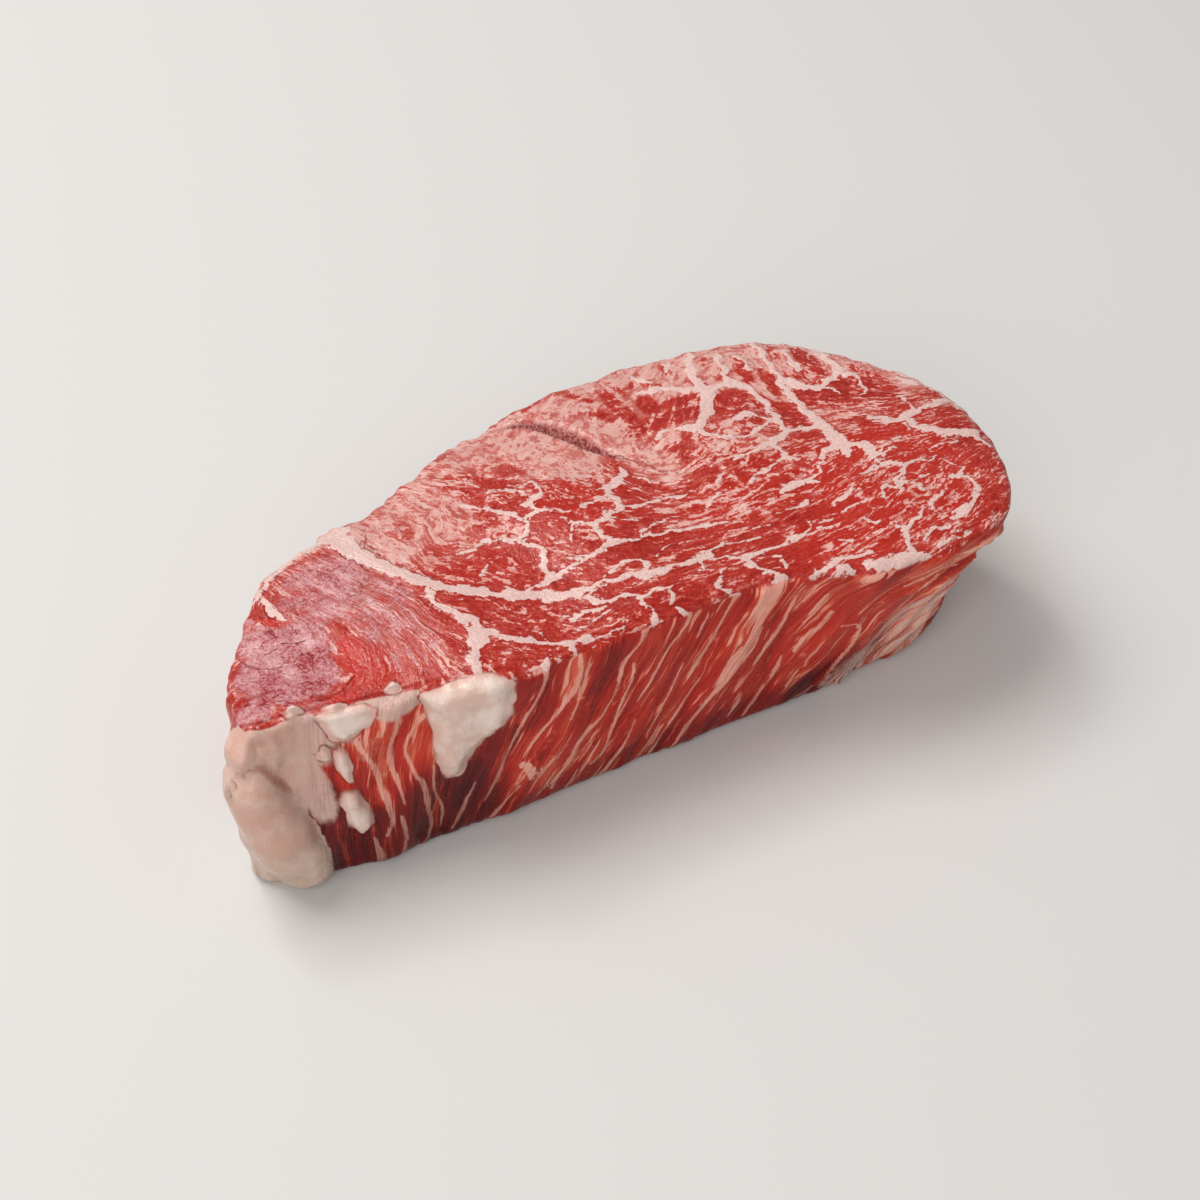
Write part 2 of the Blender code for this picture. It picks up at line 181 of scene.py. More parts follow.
# Directions of the stripes on the wall: distance along the rim from x 0, z, degrees
STRIPES = [(-70, 17, 90), (-60, 25, 84), (-55, 12, 90), (-50, 25, 76), (-48, 8, 88), (-44, 26, 72),
           (-42, 8, 86), (-36, 6, 62), (-31, 14, 68), (-28, 25, 68), (-20, 28, 66), (-20, 20, 52),
           (-24, 6, 55), (-12, 20, 60), (-10, 6, 58), (-6, 29, 60), (-4, 12, 62), (4, 22, 57),
           (3, 8, 58), (12, 29, 58), (14, 20, 62), (8, 6, 52), (20, 28, 62), (20, 10, 60),
           (27, 20, 58), (29, 31, 48), (32, 8, 45), (36, 16, 72), (40, 29, 24), (41, 6, 40),
           (44, 13, 56), (48, 22, 50), (50, 29, 12), (50, 8, 40), (58, 28, 12), (58, 16, 30),
           (60, 4, 24), (70, 28, 14), (72, 12, 24), (85, 17, 28), (100, 17, 45),
           (120, 17, 66), (150, 17, 74), (180, 17, 70), (210, 17, 78), (240, 17, 72), (270, 17, 78),
           (300, 17, 84), (330, 17, 90), (362, 17, 90)]
FIBRE_REACH = 6.5     # how far one of those directions holds
FIBRE_LOOSE = 0.12    # how little an even spacing of the fibres counts against their directions
FLOW_STEP = 2.5       # cell of the grid that the fibre coordinates are solved on
SEAM_WIGGLE = 0.26    # how far the seams wander from their strokes
UNDER_WANDER = 1.6    # how much farther they wander under the steak
BACK_SEAM_LEAN = 0.35     # how far the top's seams slide round the back for each millimetre down
BACK_SEAM_WANDER = 0.8    # and how far they wander there
RIM_INSET = 0.985     # those seams are read from the top just inside its rim
SEAM_TRUST = 0.32     # how far a seam's vector and distance may differ within one cell of the skin
STROKE_REACH = 5.0    # how far from a stroke its distance is worked out
BEYOND = 30.0         # each part of the vector to a stroke that is out of reach
FAR = 1e3             # farther than anything on the steak
OUTSIDE = -9.0        # depth inside the fat of a point that is nowhere near it
OUTLINE_MARGIN = 3.0  # how far round an outline its depth is worked out
BEND_FROM = 42.0      # from here on, along follows the rim and no longer x
BEND_LENGTH = 16.0
FRONT_REACH = 14.0    # how far round the far corner the front wall's fat, folds and patches go
BACK_FROM = 6.0       # how far round that corner the top's seams start to run down the wall

# White seams on the top cut. Each point is x, y, half width.
TOP_SEAMS = [
    # the great seam, from the back rim to the far third of the cut
    [(-42, 18.5, 4.2), (-40.6, 14, 2.4), (-38.8, 9, 1.5), (-36.4, 5, 1.3), (-33.6, 0.8, 1.2),
     (-30.4, -3.4, 1.2), (-25, -7.4, 1.1), (-21, -9.6, 1.2), (-17.4, -11.4, 1.0), (-12, -14, 0.7),
     (-7, -14.9, 0.5), (-2.5, -15.5, 0.5), (0.5, -16, 0.7), (2.5, -16.9, 0.6), (6, -17.2, 0.6),
     (10, -17, 0.6), (12.5, -16.7, 0.5), (14.5, -15.9, 0.25), (18, -15.8, 0.3), (23, -16.7, 0.15)],
    [(-19, -10.6, 0.6), (-15, -9.8, 0.4), (-12.2, -9.3, 0.6), (-9, -8.9, 0.4), (-5, -8.3, 0.4),
     (-1, -7.9, 0.6), (3, -8.4, 0.4), (8, -8.8, 0.35), (12.6, -9.5, 0.35), (16, -10.3, 0.4),
     (19.5, -10.7, 0.2)],
    [(-10, -9.2, 0.3), (-7.4, -10.6, 0.15)],
    # the left fork, down to the pad on the front edge
    [(-31.6, -3, 0.8), (-33, -5.4, 0.6), (-32.4, -8, 0.6), (-30.8, -10.4, 0.7),
     (-29, -13, 1.3), (-29.2, -16.2, 1.9), (-31, -18.8, 1.3), (-32.4, -21, 0.8), (-32.2, -24.4, 1.0)],
    [(-28.5, -15, 0.7), (-26.5, -17.6, 0.6), (-24.6, -19, 0.6), (-21, -20.9, 0.6),
     (-17.6, -22.8, 0.4), (-13.5, -23.8, 0.35), (-10, -24.2, 0.3), (-7, -24.1, 0.25),
     (-5.6, -23.4, 0.15)],
    [(-19.6, -20, 0.3), (-19.3, -21.4, 0.3)],
    # zigzag across the middle
    [(-19, 13, 0.3), (-16, 10, 0.35), (-14, 8, 0.45), (-11.4, 5, 0.5), (-10.8, 3.2, 0.5),
     (-12.4, 1.5, 0.5), (-14.4, 0.9, 0.6), (-12.6, -1.4, 0.55), (-11.2, -3.2, 0.7),
     (-12.8, -5.6, 0.5), (-12.8, -7.4, 0.5), (-12.1, -9.2, 0.6)],
    [(-14.5, 0.9, 0.5), (-17, 3, 0.45), (-19.6, 3.4, 0.3), (-22, 2.4, 0.3), (-24.6, 3, 0.15)],
    [(-11.4, 5, 0.4), (-8, 4.7, 0.3), (-5.5, 3.3, 0.2), (-3.4, 2.2, 0.15)],
    [(-5.6, 1.5, 0.15), (-4, -0.6, 0.25), (-1.4, -2.6, 0.35)],
    [(-13.8, 14, 0.25), (-10.4, 12.8, 0.35), (-9.2, 11, 0.35), (-7.8, 10, 0.25)],
    [(-8.6, 12.4, 0.2), (-5.6, 12.1, 0.3), (-6, 9.4, 0.35), (-6.8, 8.4, 0.6), (-9.4, 7.6, 0.55),
     (-8.6, 5.6, 0.35), (-7, 4.6, 0.35)],
    [(3.6, 5.4, 0.4), (6, 5.8, 0.7), (8.6, 6.7, 0.7), (10, 7.8, 0.45), (10.2, 9.6, 0.2)],
    [(4.8, 5.4, 0.6), (5, 3, 0.45), (5.2, 0.8, 0.45), (5.6, -0.8, 0.7)],
    [(2.2, -0.8, 0.4), (5.6, -1, 0.55), (9, -0.8, 0.45), (12.4, -1.1, 0.35), (17, -1.8, 0.15)],
    [(2.8, -0.8, 0.35), (1, -1.9, 0.6), (-1, -2.9, 0.6), (-1.3, -4.4, 0.45), (-0.9, -6, 0.35),
     (0.6, -7.8, 0.5)],
    [(1.6, -2.2, 0.4), (3.4, -3.4, 0.25), (5.8, -3.8, 0.15)],
    [(-1.5, 2.2, 0.3), (1.2, 2.9, 0.3), (4.6, 2.6, 0.25)],
    [(11, 6.6, 0.2), (14, 3.2, 0.15)],
    [(-6.6, -4, 0.35), (-5.2, -2, 0.3)],
    [(-23, -3.6, 0.3), (-20.6, -2.1, 0.25)],
    [(-7.8, -6.8, 0.35), (-7, -8.5, 0.4)],
    # band between the great seam and the front edge
    [(-11.6, -14.4, 0.5), (-9.4, -16.7, 0.5), (-7.5, -18.3, 0.45), (-4.4, -18.7, 0.45),
     (-2, -20, 0.4), (2.6, -20.7, 0.3), (5.6, -20.9, 0.15)],
    [(-2.1, -20, 0.45), (-2.2, -22, 0.35), (-1.2, -24, 0.4), (-2.6, -26, 0.6)],
    [(3, -20.7, 0.35), (3.3, -22.2, 0.35), (2.2, -23.4, 0.15)],
    [(-15.2, -18.2, 0.15), (-11.4, -18.8, 0.25), (-8, -19.3, 0.2)],
    [(-14, -21.5, 0.2), (-11, -21.3, 0.3), (-8, -20.6, 0.2), (-6.2, -21.4, 0.12)],
    [(-5.6, -14.4, 0.12), (-3, -12.8, 0.15), (-1, -12.2, 0.15), (2.8, -13.8, 0.3), (1.6, -15.4, 0.3)],
    [(5, -13.4, 0.1), (8.6, -11.5, 0.12)],
    [(11.4, -11.9, 0.12), (15.6, -12.7, 0.12)],
    [(10.6, -17, 0.4), (10.6, -18.6, 0.3), (10.3, -19.8, 0.3), (12, -20.5, 0.15)],
    [(13.2, -21, 0.25), (12.2, -22.6, 0.3), (10.6, -23.2, 0.3), (13.4, -25.8, 0.35)],
    [(12.5, -17.2, 0.35), (17.4, -19.5, 0.4), (20, -19.9, 0.35), (25, -19.6, 0.4),
     (29.6, -19.4, 0.4), (31.4, -18.4, 0.25), (32.6, -16.6, 0.1)],
    [(18.6, -20, 0.4), (18.2, -21.8, 0.4), (20.2, -24.6, 0.4), (21.6, -26.4, 1.0)],
    [(22.4, -21.8, 0.15), (23.8, -22.8, 0.3), (23.4, -24.4, 0.15)],
    [(2.4, -24.4, 0.15), (3.9, -26, 0.5)],
    [(-21, -24.4, 0.15), (-22, -26, 0.6)],
    [(-17, -23.2, 0.15), (-15.6, -26, 0.5)],
    # the trunk of the far end and its branches
    [(48.6, 31, 0.4), (47.6, 25, 0.5), (47.2, 19, 0.7), (46.4, 13, 0.75), (46.8, 6, 0.9),
     (47.2, 1, 1.3), (47.8, -3, 1.2), (46.8, -6.2, 0.4)],
    [(47.6, -3, 0.6), (51.2, -5.4, 0.9), (50.6, -8.4, 0.8), (50.2, -10, 0.4), (52.4, -11.2, 0.6),
     (54.2, -13.2, 0.6), (51.4, -15.4, 0.5), (50.2, -17, 0.4)],
    [(52.4, -7.2, 0.35), (55, -6.5, 0.2), (58, -6, 0.12)],
    [(51.8, -8.4, 0.4), (56, -8, 0.2)],
    [(50.2, -10.9, 0.4), (45.5, -11.8, 0.25)],
    [(53.8, -11.9, 0.4), (57, -12.3, 0.3), (60.6, -13.1, 0.15)],
    [(50.2, -17, 0.3), (47.8, -16.6, 0.4), (46.2, -18.8, 0.25)],
    [(50.2, -17, 0.4), (52.6, -17.3, 0.5), (54, -19.6, 0.3)],
    [(52.4, -17.1, 0.3), (57, -16.4, 0.12)],
    [(46.6, 2.8, 0.8), (43.4, 3.6, 0.5), (40.6, 4.6, 0.8), (40.6, 8, 0.6), (41, 12, 0.6),
     (40.8, 16.4, 0.6), (39.4, 20, 1.0)],
    [(40.5, 4, 0.7), (36.6, 2.6, 0.7), (32.6, 1.9, 0.4), (28, 1.4, 0.2)],
    [(40.2, 7, 0.5), (38.4, 9, 0.45), (36, 11.2, 0.7), (33, 10.5, 0.4)],
    [(38.4, 7.4, 0.3), (34, 6, 0.35), (30, 6.7, 0.4), (27, 9, 0.5), (24.6, 12, 0.6)],
    [(36.6, 2.6, 0.3), (36.6, 0.4, 0.4), (38, -1.8, 0.6), (38.6, -3, 0.2)],
    [(39.4, 20, 1.0), (34.4, 20.6, 1.3), (31.6, 17.2, 1.3), (29.6, 14, 1.2), (27, 12.3, 0.8),
     (24.4, 12.4, 0.6), (21.6, 14, 0.4), (18.6, 13, 0.4)],
    [(34.4, 20.8, 1.0), (30, 22.4, 0.9), (26.6, 24.6, 0.7), (21.6, 25.8, 0.4)],
    [(33.2, 21, 0.9), (33, 26, 0.8), (35.6, 31, 1.1)],
    [(38.6, 20.6, 0.9), (38.8, 25, 0.6), (40, 29, 0.4)],
    [(57.4, 27, 0.5), (57.8, 20, 0.8), (58.2, 15.6, 0.9), (55.6, 13.4, 0.8), (51.4, 12.8, 0.8),
     (48.4, 16, 1.1)],
    [(53, 12.6, 0.4), (55, 9.6, 0.2)],
    [(58.2, 14.4, 0.5), (60, 11.6, 0.4), (59.6, 8.6, 0.35), (57.8, 7.2, 0.2)],
    [(51.4, 19, 0.8), (51.8, 24, 0.5)],
    [(43.4, 22, 0.3), (43, 27, 0.3)],
    [(28.6, 28, 0.5), (30.6, 31, 0.6)],
    [(25.6, 27.6, 0.5), (23, 30.6, 0.6)],
    # the far rim
    [(55.8, 0.9, 0.4), (57.4, -1, 0.7), (60.2, -2.3, 0.8), (62.2, -4.4, 0.7), (64, -7, 0.8),
     (67, -8.8, 1.0), (70.2, -10.4, 1.1), (71.4, -14, 0.5)],
    [(60.6, -2.1, 0.6), (64, -1.3, 0.6), (67.4, -1.5, 0.6), (71, -0.9, 0.8)],
    [(64.2, -1.2, 0.4), (64.5, 1.6, 0.3), (63.6, 3.4, 0.15)],
    [(59.9, -2.8, 0.3), (60.2, -5, 0.15)],
    [(61.4, -10.6, 0.2), (64, -10.6, 0.25), (66.2, -11.5, 0.1)],
    [(60.4, -19, 0.35), (62, -18.6, 0.6), (63.8, -17.6, 0.2)],
    [(61.6, -19, 0.3), (63.2, -21.4, 0.35), (62.8, -23.4, 0.35), (60, -25.2, 0.5),
     (57.6, -26.8, 0.9), (54.4, -27, 0.4)],
    [(61.6, -14.4, 0.3), (62.6, -16.2, 0.2)],
    [(52.6, -24, 0.4), (54, -22.6, 0.5), (56.4, -21.4, 0.2)],
    [(66, 8.6, 0.5), (68.8, 5.6, 0.8)],
    [(31.6, -9.2, 0.4), (34, -8.4, 0.9), (37, -9.2, 0.7), (39, -9.8, 0.2)],
    [(36.4, -9, 0.4), (40, -7.6, 0.35), (43.4, -3.6, 0.4), (47, -3, 0.6)],
    [(27.4, -4.9, 0.25), (32, -2.9, 0.35), (37.4, -1.6, 0.3)],
    [(24.8, -0.9, 0.35), (21.4, -3, 0.2)],
    [(21.6, -5, 0.3), (18, -6.7, 0.2)],
    [(4.8, -8, 0.3), (6.4, -6.8, 0.25), (10.6, -6, 0.2), (12.6, -6.6, 0.15)],
    [(23, -14.2, 0.2), (25.4, -14.8, 0.12)],
    [(28, -13, 0.15), (34, -13.4, 0.4)],
    [(38, -15.6, 0.25), (41, -14.7, 0.3), (44.4, -15, 0.12)],
    [(33, -18.3, 0.1), (43.4, -17.5, 0.15)],
    [(33, -19.2, 0.2), (36.4, -20.2, 0.1)],
    [(41, -20.6, 0.2), (42.6, -23, 0.35)],
    [(44.4, -23.4, 0.2), (45.6, -25.4, 0.4), (45, -28, 0.5), (44.4, -30.4, 0.7)],
    [(45.6, -26.2, 0.5), (49.6, -24.8, 0.3), (51.4, -22.8, 0.2)],
    [(34.4, -23.4, 0.25), (36.6, -24.5, 0.35)],
    [(35.8, -30.4, 0.4), (38.4, -31, 1.0), (41, -31.8, 1.4), (44, -32.4, 1.2), (46.8, -32.4, 0.4)],
    [(26, -28, 0.4), (30, -27.2, 0.5), (34, -27.6, 0.5), (38, -28, 0.4)],
    [(28, -30, 0.3), (31.4, -29, 0.5), (33.4, -30.4, 0.3)],
    [(47.6, -29.4, 0.2), (50.4, -28, 0.35), (53.4, -28.8, 0.2)],
    [(49, -31.8, 0.3), (52.6, -31, 0.35), (56, -31, 0.2)],
    # the strip near the left rim, and pale skin along the rim of the cut
    [(-57, 8.2, 0.5), (-56.6, 5, 0.8), (-55.6, 1.4, 0.4)],
    [(-62.8, 4.4, 0.2), (-57.4, 10, 0.6), (-51.6, 13.6, 0.8), (-46, 16.2, 1.4), (-42, 18, 2.4)],
    [(52, 28.6, 0.5), (60, 21.4, 0.6), (65.6, 13.4, 0.6), (70, 6, 0.5), (72.4, -4, 0.3)],
]

# Pale stripes on the front wall. Each point is x, z, half width.
WALL_SEAMS = [
    [(-22, 33.6, 0.6), (-22.3, 31, 0.55), (-23.6, 28, 0.35), (-26, 24.6, 0.3), (-28.6, 20, 0.3),
     (-30, 16, 0.3), (-32, 11, 0.3), (-34, 7, 0.2)],
    [(-15.4, 33.8, 0.5), (-15.6, 31, 0.5), (-16.4, 28, 0.7), (-18.2, 25.6, 0.5), (-21.6, 22.2, 0.45),
     (-24.6, 18.8, 0.3), (-27, 15, 0.2)],
    [(-16.4, 27, 0.2), (-17, 24, 0.25), (-18.6, 20.6, 0.15)],
    [(-3.6, 33.8, 0.7), (-5.2, 30.6, 0.45), (-8, 27.8, 0.45), (-8.8, 25, 0.5), (-9.8, 22, 0.4),
     (-12, 18.2, 0.5), (-14.4, 16.2, 0.6), (-17, 13.6, 0.6), (-18.8, 10, 0.8), (-20.6, 7.4, 0.5),
     (-22, 4, 0.3)],
    [(-6.2, 27, 0.2), (-6.8, 24, 0.5), (-8, 21, 0.5), (-9.2, 18, 0.4), (-10.2, 14, 0.4),
     (-11.4, 10, 0.5), (-13, 7.4, 0.6), (-14.6, 6.2, 0.3)],
    [(4, 33.8, 0.7), (4.3, 32, 0.6), (2.4, 29.4, 0.35), (-0.6, 26.2, 0.35), (-3.2, 22, 0.3),
     (-5.6, 18, 0.15)],
    [(3, 22.6, 0.15), (1, 17.4, 0.35), (-1.2, 13.4, 0.3), (-2.4, 10, 0.2), (-3.4, 6.4, 0.15)],
    [(13.4, 34, 0.8), (13, 32.2, 0.7), (11.2, 29.4, 0.45), (9, 25.4, 0.55), (7, 22, 0.6),
     (5.6, 19.9, 0.65), (4.2, 18, 0.25)],
    [(8, 31.6, 0.15), (5.7, 27.4, 0.2)],
    [(20.4, 34, 2.3), (19, 30.6, 2.1), (17, 26.6, 2.0), (15, 22, 2.0), (12.6, 18.6, 1.7),
     (10, 14.4, 1.1), (7.6, 11, 0.7), (5.2, 7.6, 0.5), (3.6, 5.2, 0.5), (1.4, 1, 0.2)],
    [(24, 29.6, 0.3), (22.8, 26, 0.5), (21, 22.4, 0.7), (18.8, 19, 0.8), (16.8, 16, 0.4)],
    [(6.4, 17, 0.2), (4.2, 13.6, 0.3), (1.6, 9, 0.25), (-0.6, 5.6, 0.3), (-2.4, 1.6, 0.6)],
    [(-6, 13, 0.2), (-8.4, 7.4, 0.35), (-10.8, 3.4, 0.45), (-12.8, 0.8, 0.4)],
    [(14.8, 9, 0.25), (13.8, 6.5, 0.45), (12.6, 3.8, 0.2)],
    [(19.6, 8.6, 0.25), (18, 5.5, 0.35), (15.8, 2.2, 0.2)],
    [(22.4, 15, 0.3), (21.4, 12, 0.7), (20.8, 10, 0.3)],
    [(30.2, 24.8, 0.5), (28.4, 21.4, 0.35), (26.4, 18.4, 0.6), (24.6, 15.6, 0.3)],
    [(26, 10, 0.4), (24, 6.6, 0.25)],
    [(28.8, 29, 0.6), (27.2, 25.4, 0.5), (25.6, 22.4, 0.15)],
    [(28.6, 15, 0.25), (27.4, 12.8, 0.3), (27, 10.6, 0.15)],
    [(34.4, 32, 0.5), (37, 33.2, 1.2), (40, 33.8, 1.4), (43.6, 34.2, 1.0), (46, 34.2, 0.3)],
    # silvery strands that gather at the foot of the far end
    [(32.4, 20.6, 0.15), (35.2, 19.8, 0.2), (36.6, 17.6, 0.3), (36.4, 14.6, 0.35), (35, 11.4, 0.25),
     (32.6, 7.4, 0.3), (29.6, 3.6, 0.3), (25.6, 1.6, 0.3), (21.6, 0.6, 0.2)],
    [(53.6, 28.8, 0.4), (50, 29.4, 0.5), (47, 28, 0.3), (43.4, 26.4, 0.15)],
    [(56, 24.6, 0.3), (52, 25.2, 0.4), (49, 23.2, 0.5), (47, 19.8, 0.4), (45.4, 16, 0.35),
     (43.6, 12.4, 0.3), (41.4, 9, 0.2)],
    [(41, 17, 0.2), (39.4, 13.8, 0.3), (38, 12.2, 0.15)],
    [(53, 17.6, 0.3), (49.6, 13.4, 0.5), (46.8, 8.6, 0.5), (43, 5, 0.4), (38, 2.4, 0.3)],
    [(39.6, 10, 0.25), (36, 6.6, 0.2)],
    # wavy stripes between the lumps of the narrow end
    [(-54, 29, 0.5), (-51.9, 24, 0.6), (-51, 18.6, 0.7), (-50.4, 13.4, 0.7), (-50, 10, 0.6),
     (-51.4, 7, 0.3)],
    [(-45.4, 32.6, 0.9), (-46.6, 28.6, 0.8), (-48.2, 25, 0.7), (-48.6, 21, 0.6), (-48, 17, 0.5),
     (-47.6, 13, 0.3)],
    [(-42.2, 28.8, 0.4), (-44.5, 26.2, 0.5), (-46, 23.4, 0.4), (-45.2, 19, 0.3), (-44, 15.8, 0.6),
     (-43.7, 9.6, 0.5), (-43.7, 4.6, 0.4), (-45.4, 1, 0.3)],
    [(-48.4, 10.4, 0.4), (-48.2, 5.4, 0.4), (-49.4, 1.6, 0.3)],
    [(-53.4, 6.4, 0.3), (-52.8, 3, 0.8), (-53.4, 0.6, 0.6)],
    [(-42, 20, 0.2), (-42.4, 14, 0.3), (-41.4, 8, 0.3), (-42, 4, 0.2)],
    [(-35.4, 12.4, 0.25), (-37.6, 7, 0.3), (-40, 2.6, 0.3)],
    [(-27, 13.4, 0.9), (-25.8, 11.6, 1.0), (-26, 9.4, 0.4)],
    [(-28, 8.4, 0.3), (-31, 4.6, 0.35), (-33.4, 1.4, 0.3)],
    [(-20.6, 13.6, 0.3), (-23, 11.6, 0.35), (-24.4, 9, 0.3)],
    [(-22.6, 6, 0.3), (-24.6, 3.4, 0.25)],
    [(-17, 6, 0.25), (-19, 2, 0.3)],
]

# Fine dark cracks on the top cut. Each point is x, y, half width.
TOP_CRACKS = [
    [(9.6, 14.2, 0.3), (12.4, 11, 0.24), (16, 6.4, 0.16), (19, 2.6, 0.1)],
    [(-36.4, 16.4, 0.12), (-36.4, 12, 0.2), (-35.5, 6, 0.2), (-32.6, 1.6, 0.22), (-29, -1.4, 0.12)],
    [(-42, 11.5, 0.12), (-40.3, 8, 0.16), (-39.4, 5.4, 0.1)],
    [(-38.6, 13, 0.1), (-37.2, 9, 0.12)],
    [(-64.5, -0.6, 0.16), (-64.6, -3.8, 0.24), (-63, -6, 0.24), (-60, -7.3, 0.12)],
    [(-65, -14, 0.12), (-61, -15.3, 0.22), (-57, -16.5, 0.26), (-52, -15.8, 0.24),
     (-50, -14, 0.2), (-49.8, -11, 0.12)],
    [(-62, -4, 0.1), (-57, -3, 0.14), (-53, -4.4, 0.1)],
    [(-41.6, 2.7, 0.2), (-41.2, 2.2, 0.2)],
    [(-44.4, 1.3, 0.2), (-44, 1, 0.2)],
    [(-42.6, 1.2, 0.16), (-42.3, 1, 0.16)],
    [(-56, 10.4, 0.1), (-57.6, 7, 0.16), (-57.2, 2, 0.1)],
]

# Patches of colour. Each is x, y (z on the wall), half sizes, turn in degrees, and strength.
TOP_PALE = [(-7.2, 16.9, 5.4, 3.4, -32, 0.8), (36, 25, 27, 8.5, -12, 0.9), (24, 21, 9, 10, 0, 0.7),
            (60, 14, 5, 12, 38, 0.7), (1, 19, 10, 8, -45, 1.0), (-8, 26, 10, 5, 20, 0.85),
            (-24, 12, 7, 7, -40, 0.6), (-31, 13, 6, 9, -20, 0.8), (-21, 20, 9, 5, 25, 0.6),
            (-26, 5, 8, 5, 0, 0.35), (7, 28, 6, 4, -10, 0.9), (11, 19, 3, 7, 20, 0.8),
            (15, 9, 4, 8, 25, 0.7), (23, 28, 9, 5, 0, 0.8),
            (33, 25, 9, 7, -10, 0.85), (42, 28, 9, 5, -15, 0.8), (57, 20, 4, 8, 35, 0.85),
            (66, 9, 2.4, 7, 30, 0.8), (-46, 15.6, 12, 1.6, 14, 1.0), (-40, 16, 4.6, 4, 0, 1.0),
            (-43, 3, 6, 6, -40, 0.5), (-52, 8, 7, 5, 15, 0.25), (-38, -2, 4, 5, -40, 0.3),
            (48, 4, 4, 4, 0, 0.4), (37, 4, 7, 3, 10, 0.35), (28, 8, 6, 4, 0, 0.35)]
# lean meat among the pale patches, and taken off them
TOP_RED = [(-16.5, 18, 4, 2.5, -30, 0.62), (-12.6, 15.6, 5, 1.4, -35, 0.5), (-31, 11.5, 3, 3, 0, 0.35),
           (-8, 17, 3, 2.5, -20, 0.5), (17, 24, 1.4, 7, 8, 0.9), (22, 22, 1.8, 3, 0, 0.9),
           (28, 20, 4.5, 1.6, -5, 0.9), (24, 16.4, 9, 2.2, -6, 0.95), (37, 15.4, 5, 3.2, -30, 1.0),
           (42, 22.6, 1.3, 4, -5, 1.0), (45, 18, 1.4, 4, -8, 1.0), (50, 26, 1.0, 4, -15, 0.7),
           (54.4, 20, 1.7, 5, 5, 1.0), (50.6, 17.4, 2.6, 1.4, -20, 1.0), (43.6, 8, 1.6, 5, 5, 0.9),
           (50.6, 10, 4, 2.2, -45, 1.0), (57, 9.6, 4, 3.4, 0, 1.0), (62, 8, 2.6, 5, 10, 1.0),
           (61.6, 13, 0.9, 3, 20, 0.8), (36.8, 27, 0.8, 3.4, -12, 0.8), (33, 22.8, 2.6, 0.8, -40, 0.7),
           (38, 22.6, 2, 1.2, -30, 0.6), (29.6, 29, 0.8, 2.4, 8, 0.7), (22, 28.6, 2.4, 0.8, 10, 0.7),
           (19.2, 28.4, 0.8, 3, 10, 0.7), (26, 26, 3, 0.7, -35, 0.7), (12.4, 23.4, 1.6, 1.4, -30, 0.6),
           (47.6, 26, 0.7, 3, 0, 0.3), (12, 29, 3, 0.6, -45, 0.7), (9, 25.6, 2.5, 0.7, 0, 0.5)]
TOP_BRIGHT = [(-48.8, -9.6, 2.2, 3.6, -12, 1.2), (-47.2, -14, 4.4, 4, -50, 0.7),
              (-58, 2.2, 3, 1.2, -30, 0.8), (-55.4, -18.4, 6, 1.3, 8, 0.7),
              (-61.6, -19.6, 2.2, 0.8, 0, 0.9), (50, -8, 16, 7, 16, 0.75),
              (58, -14, 8, 9, 20, 0.7), (44, -22, 18, 8, 6, 0.6), (0, 3, 9, 6, -30, 0.5),
              (30, -6, 16, 6, 15, 0.4), (-22, 0, 9, 6, -20, 0.35)]
TOP_DEEP = [(-68.4, -9, 1.8, 6.5, 14, 1.0), (-69.6, -15, 1.6, 2.4, 10, 0.9), (0, -19.6, 20, 5, -2, 0.5),
            (4, -12, 12, 3, 0, 0.45), (28, -20, 12, 5, 4, 0.4), (-33, -20.4, 4, 2, 0, 0.5),
            (69, -14, 3, 11, 8, 0.7), (65, -26, 5, 3.5, 40, 0.7), (-20, -15, 8, 4, -25, 0.3)]
TOP_LOBE = [(-58.8, -8.8, 8.4, 7.2, -10, 1.0), (-60, -1.4, 5.4, 3.6, -15, 0.9), (-54, -3, 4, 4, 0, 0.8),
            (-67, -14.6, 3.4, 2.6, 0, 0.7), (-62, 3.6, 2.4, 1.8, 40, 0.6), (-47, 5, 9, 8, 15, 0.65),
            (-40.6, -3, 5.4, 8, -35, 0.5), (-40, -11, 6, 7, 0, 0.4), (-59, -17.4, 4, 0.9, -6, 0.5),
            (-33, 12, 3.6, 5, 0, 0.25)]
# bare meat where the lobe's pink skin is missing
TOP_BARE = [(-48.6, -9.6, 2.6, 3.6, -10, 1.0), (-46.4, -13.4, 2.2, 4, -25, 0.7),
            (-49.6, -17.6, 4, 1.6, 10, 0.7)]
# where the meat has few white dashes, and where it is full of them
TOP_PLAIN = [(1, 19, 9, 8, -45, 1.0), (-47.6, -12, 5, 8, 0, 1.0), (-56, -8, 14, 12, 0, 1.0),
             (-44, -14, 8, 6, 0, 0.8), (-4, -18, 30, 8, -4, 0.85), (24, -19, 14, 6, 4, 0.6),
             (8, -12, 13, 3, 0, 0.8), (66, -20, 4, 10, 10, 0.6), (64, -6, 6, 3, -20, 0.6)]
TOP_DASHED = [(33, -4, 12, 7.5, 20, 1.0), (2, 7, 10, 5, -32, 0.7), (56, 4, 9, 6, -20, 0.6),
              (50, -24, 10, 3.6, 20, 0.7), (-27, 8, 8, 9, 0, 0.9), (46, -13, 8, 5, 10, 0.4)]
WALL_PALE = [(-49, 30, 12, 4, 0, 0.7), (-47, 24, 6, 7, 0, 0.45), (30, 29, 8, 3.6, 10, 0.55),
             (49, 12, 7, 12, -14, 0.85), (53, 3, 6, 5, 0, 0.9), (48, 30, 7, 2.6, 0, 0.5),
             (-25, 9, 5, 4, 40, 0.3)]
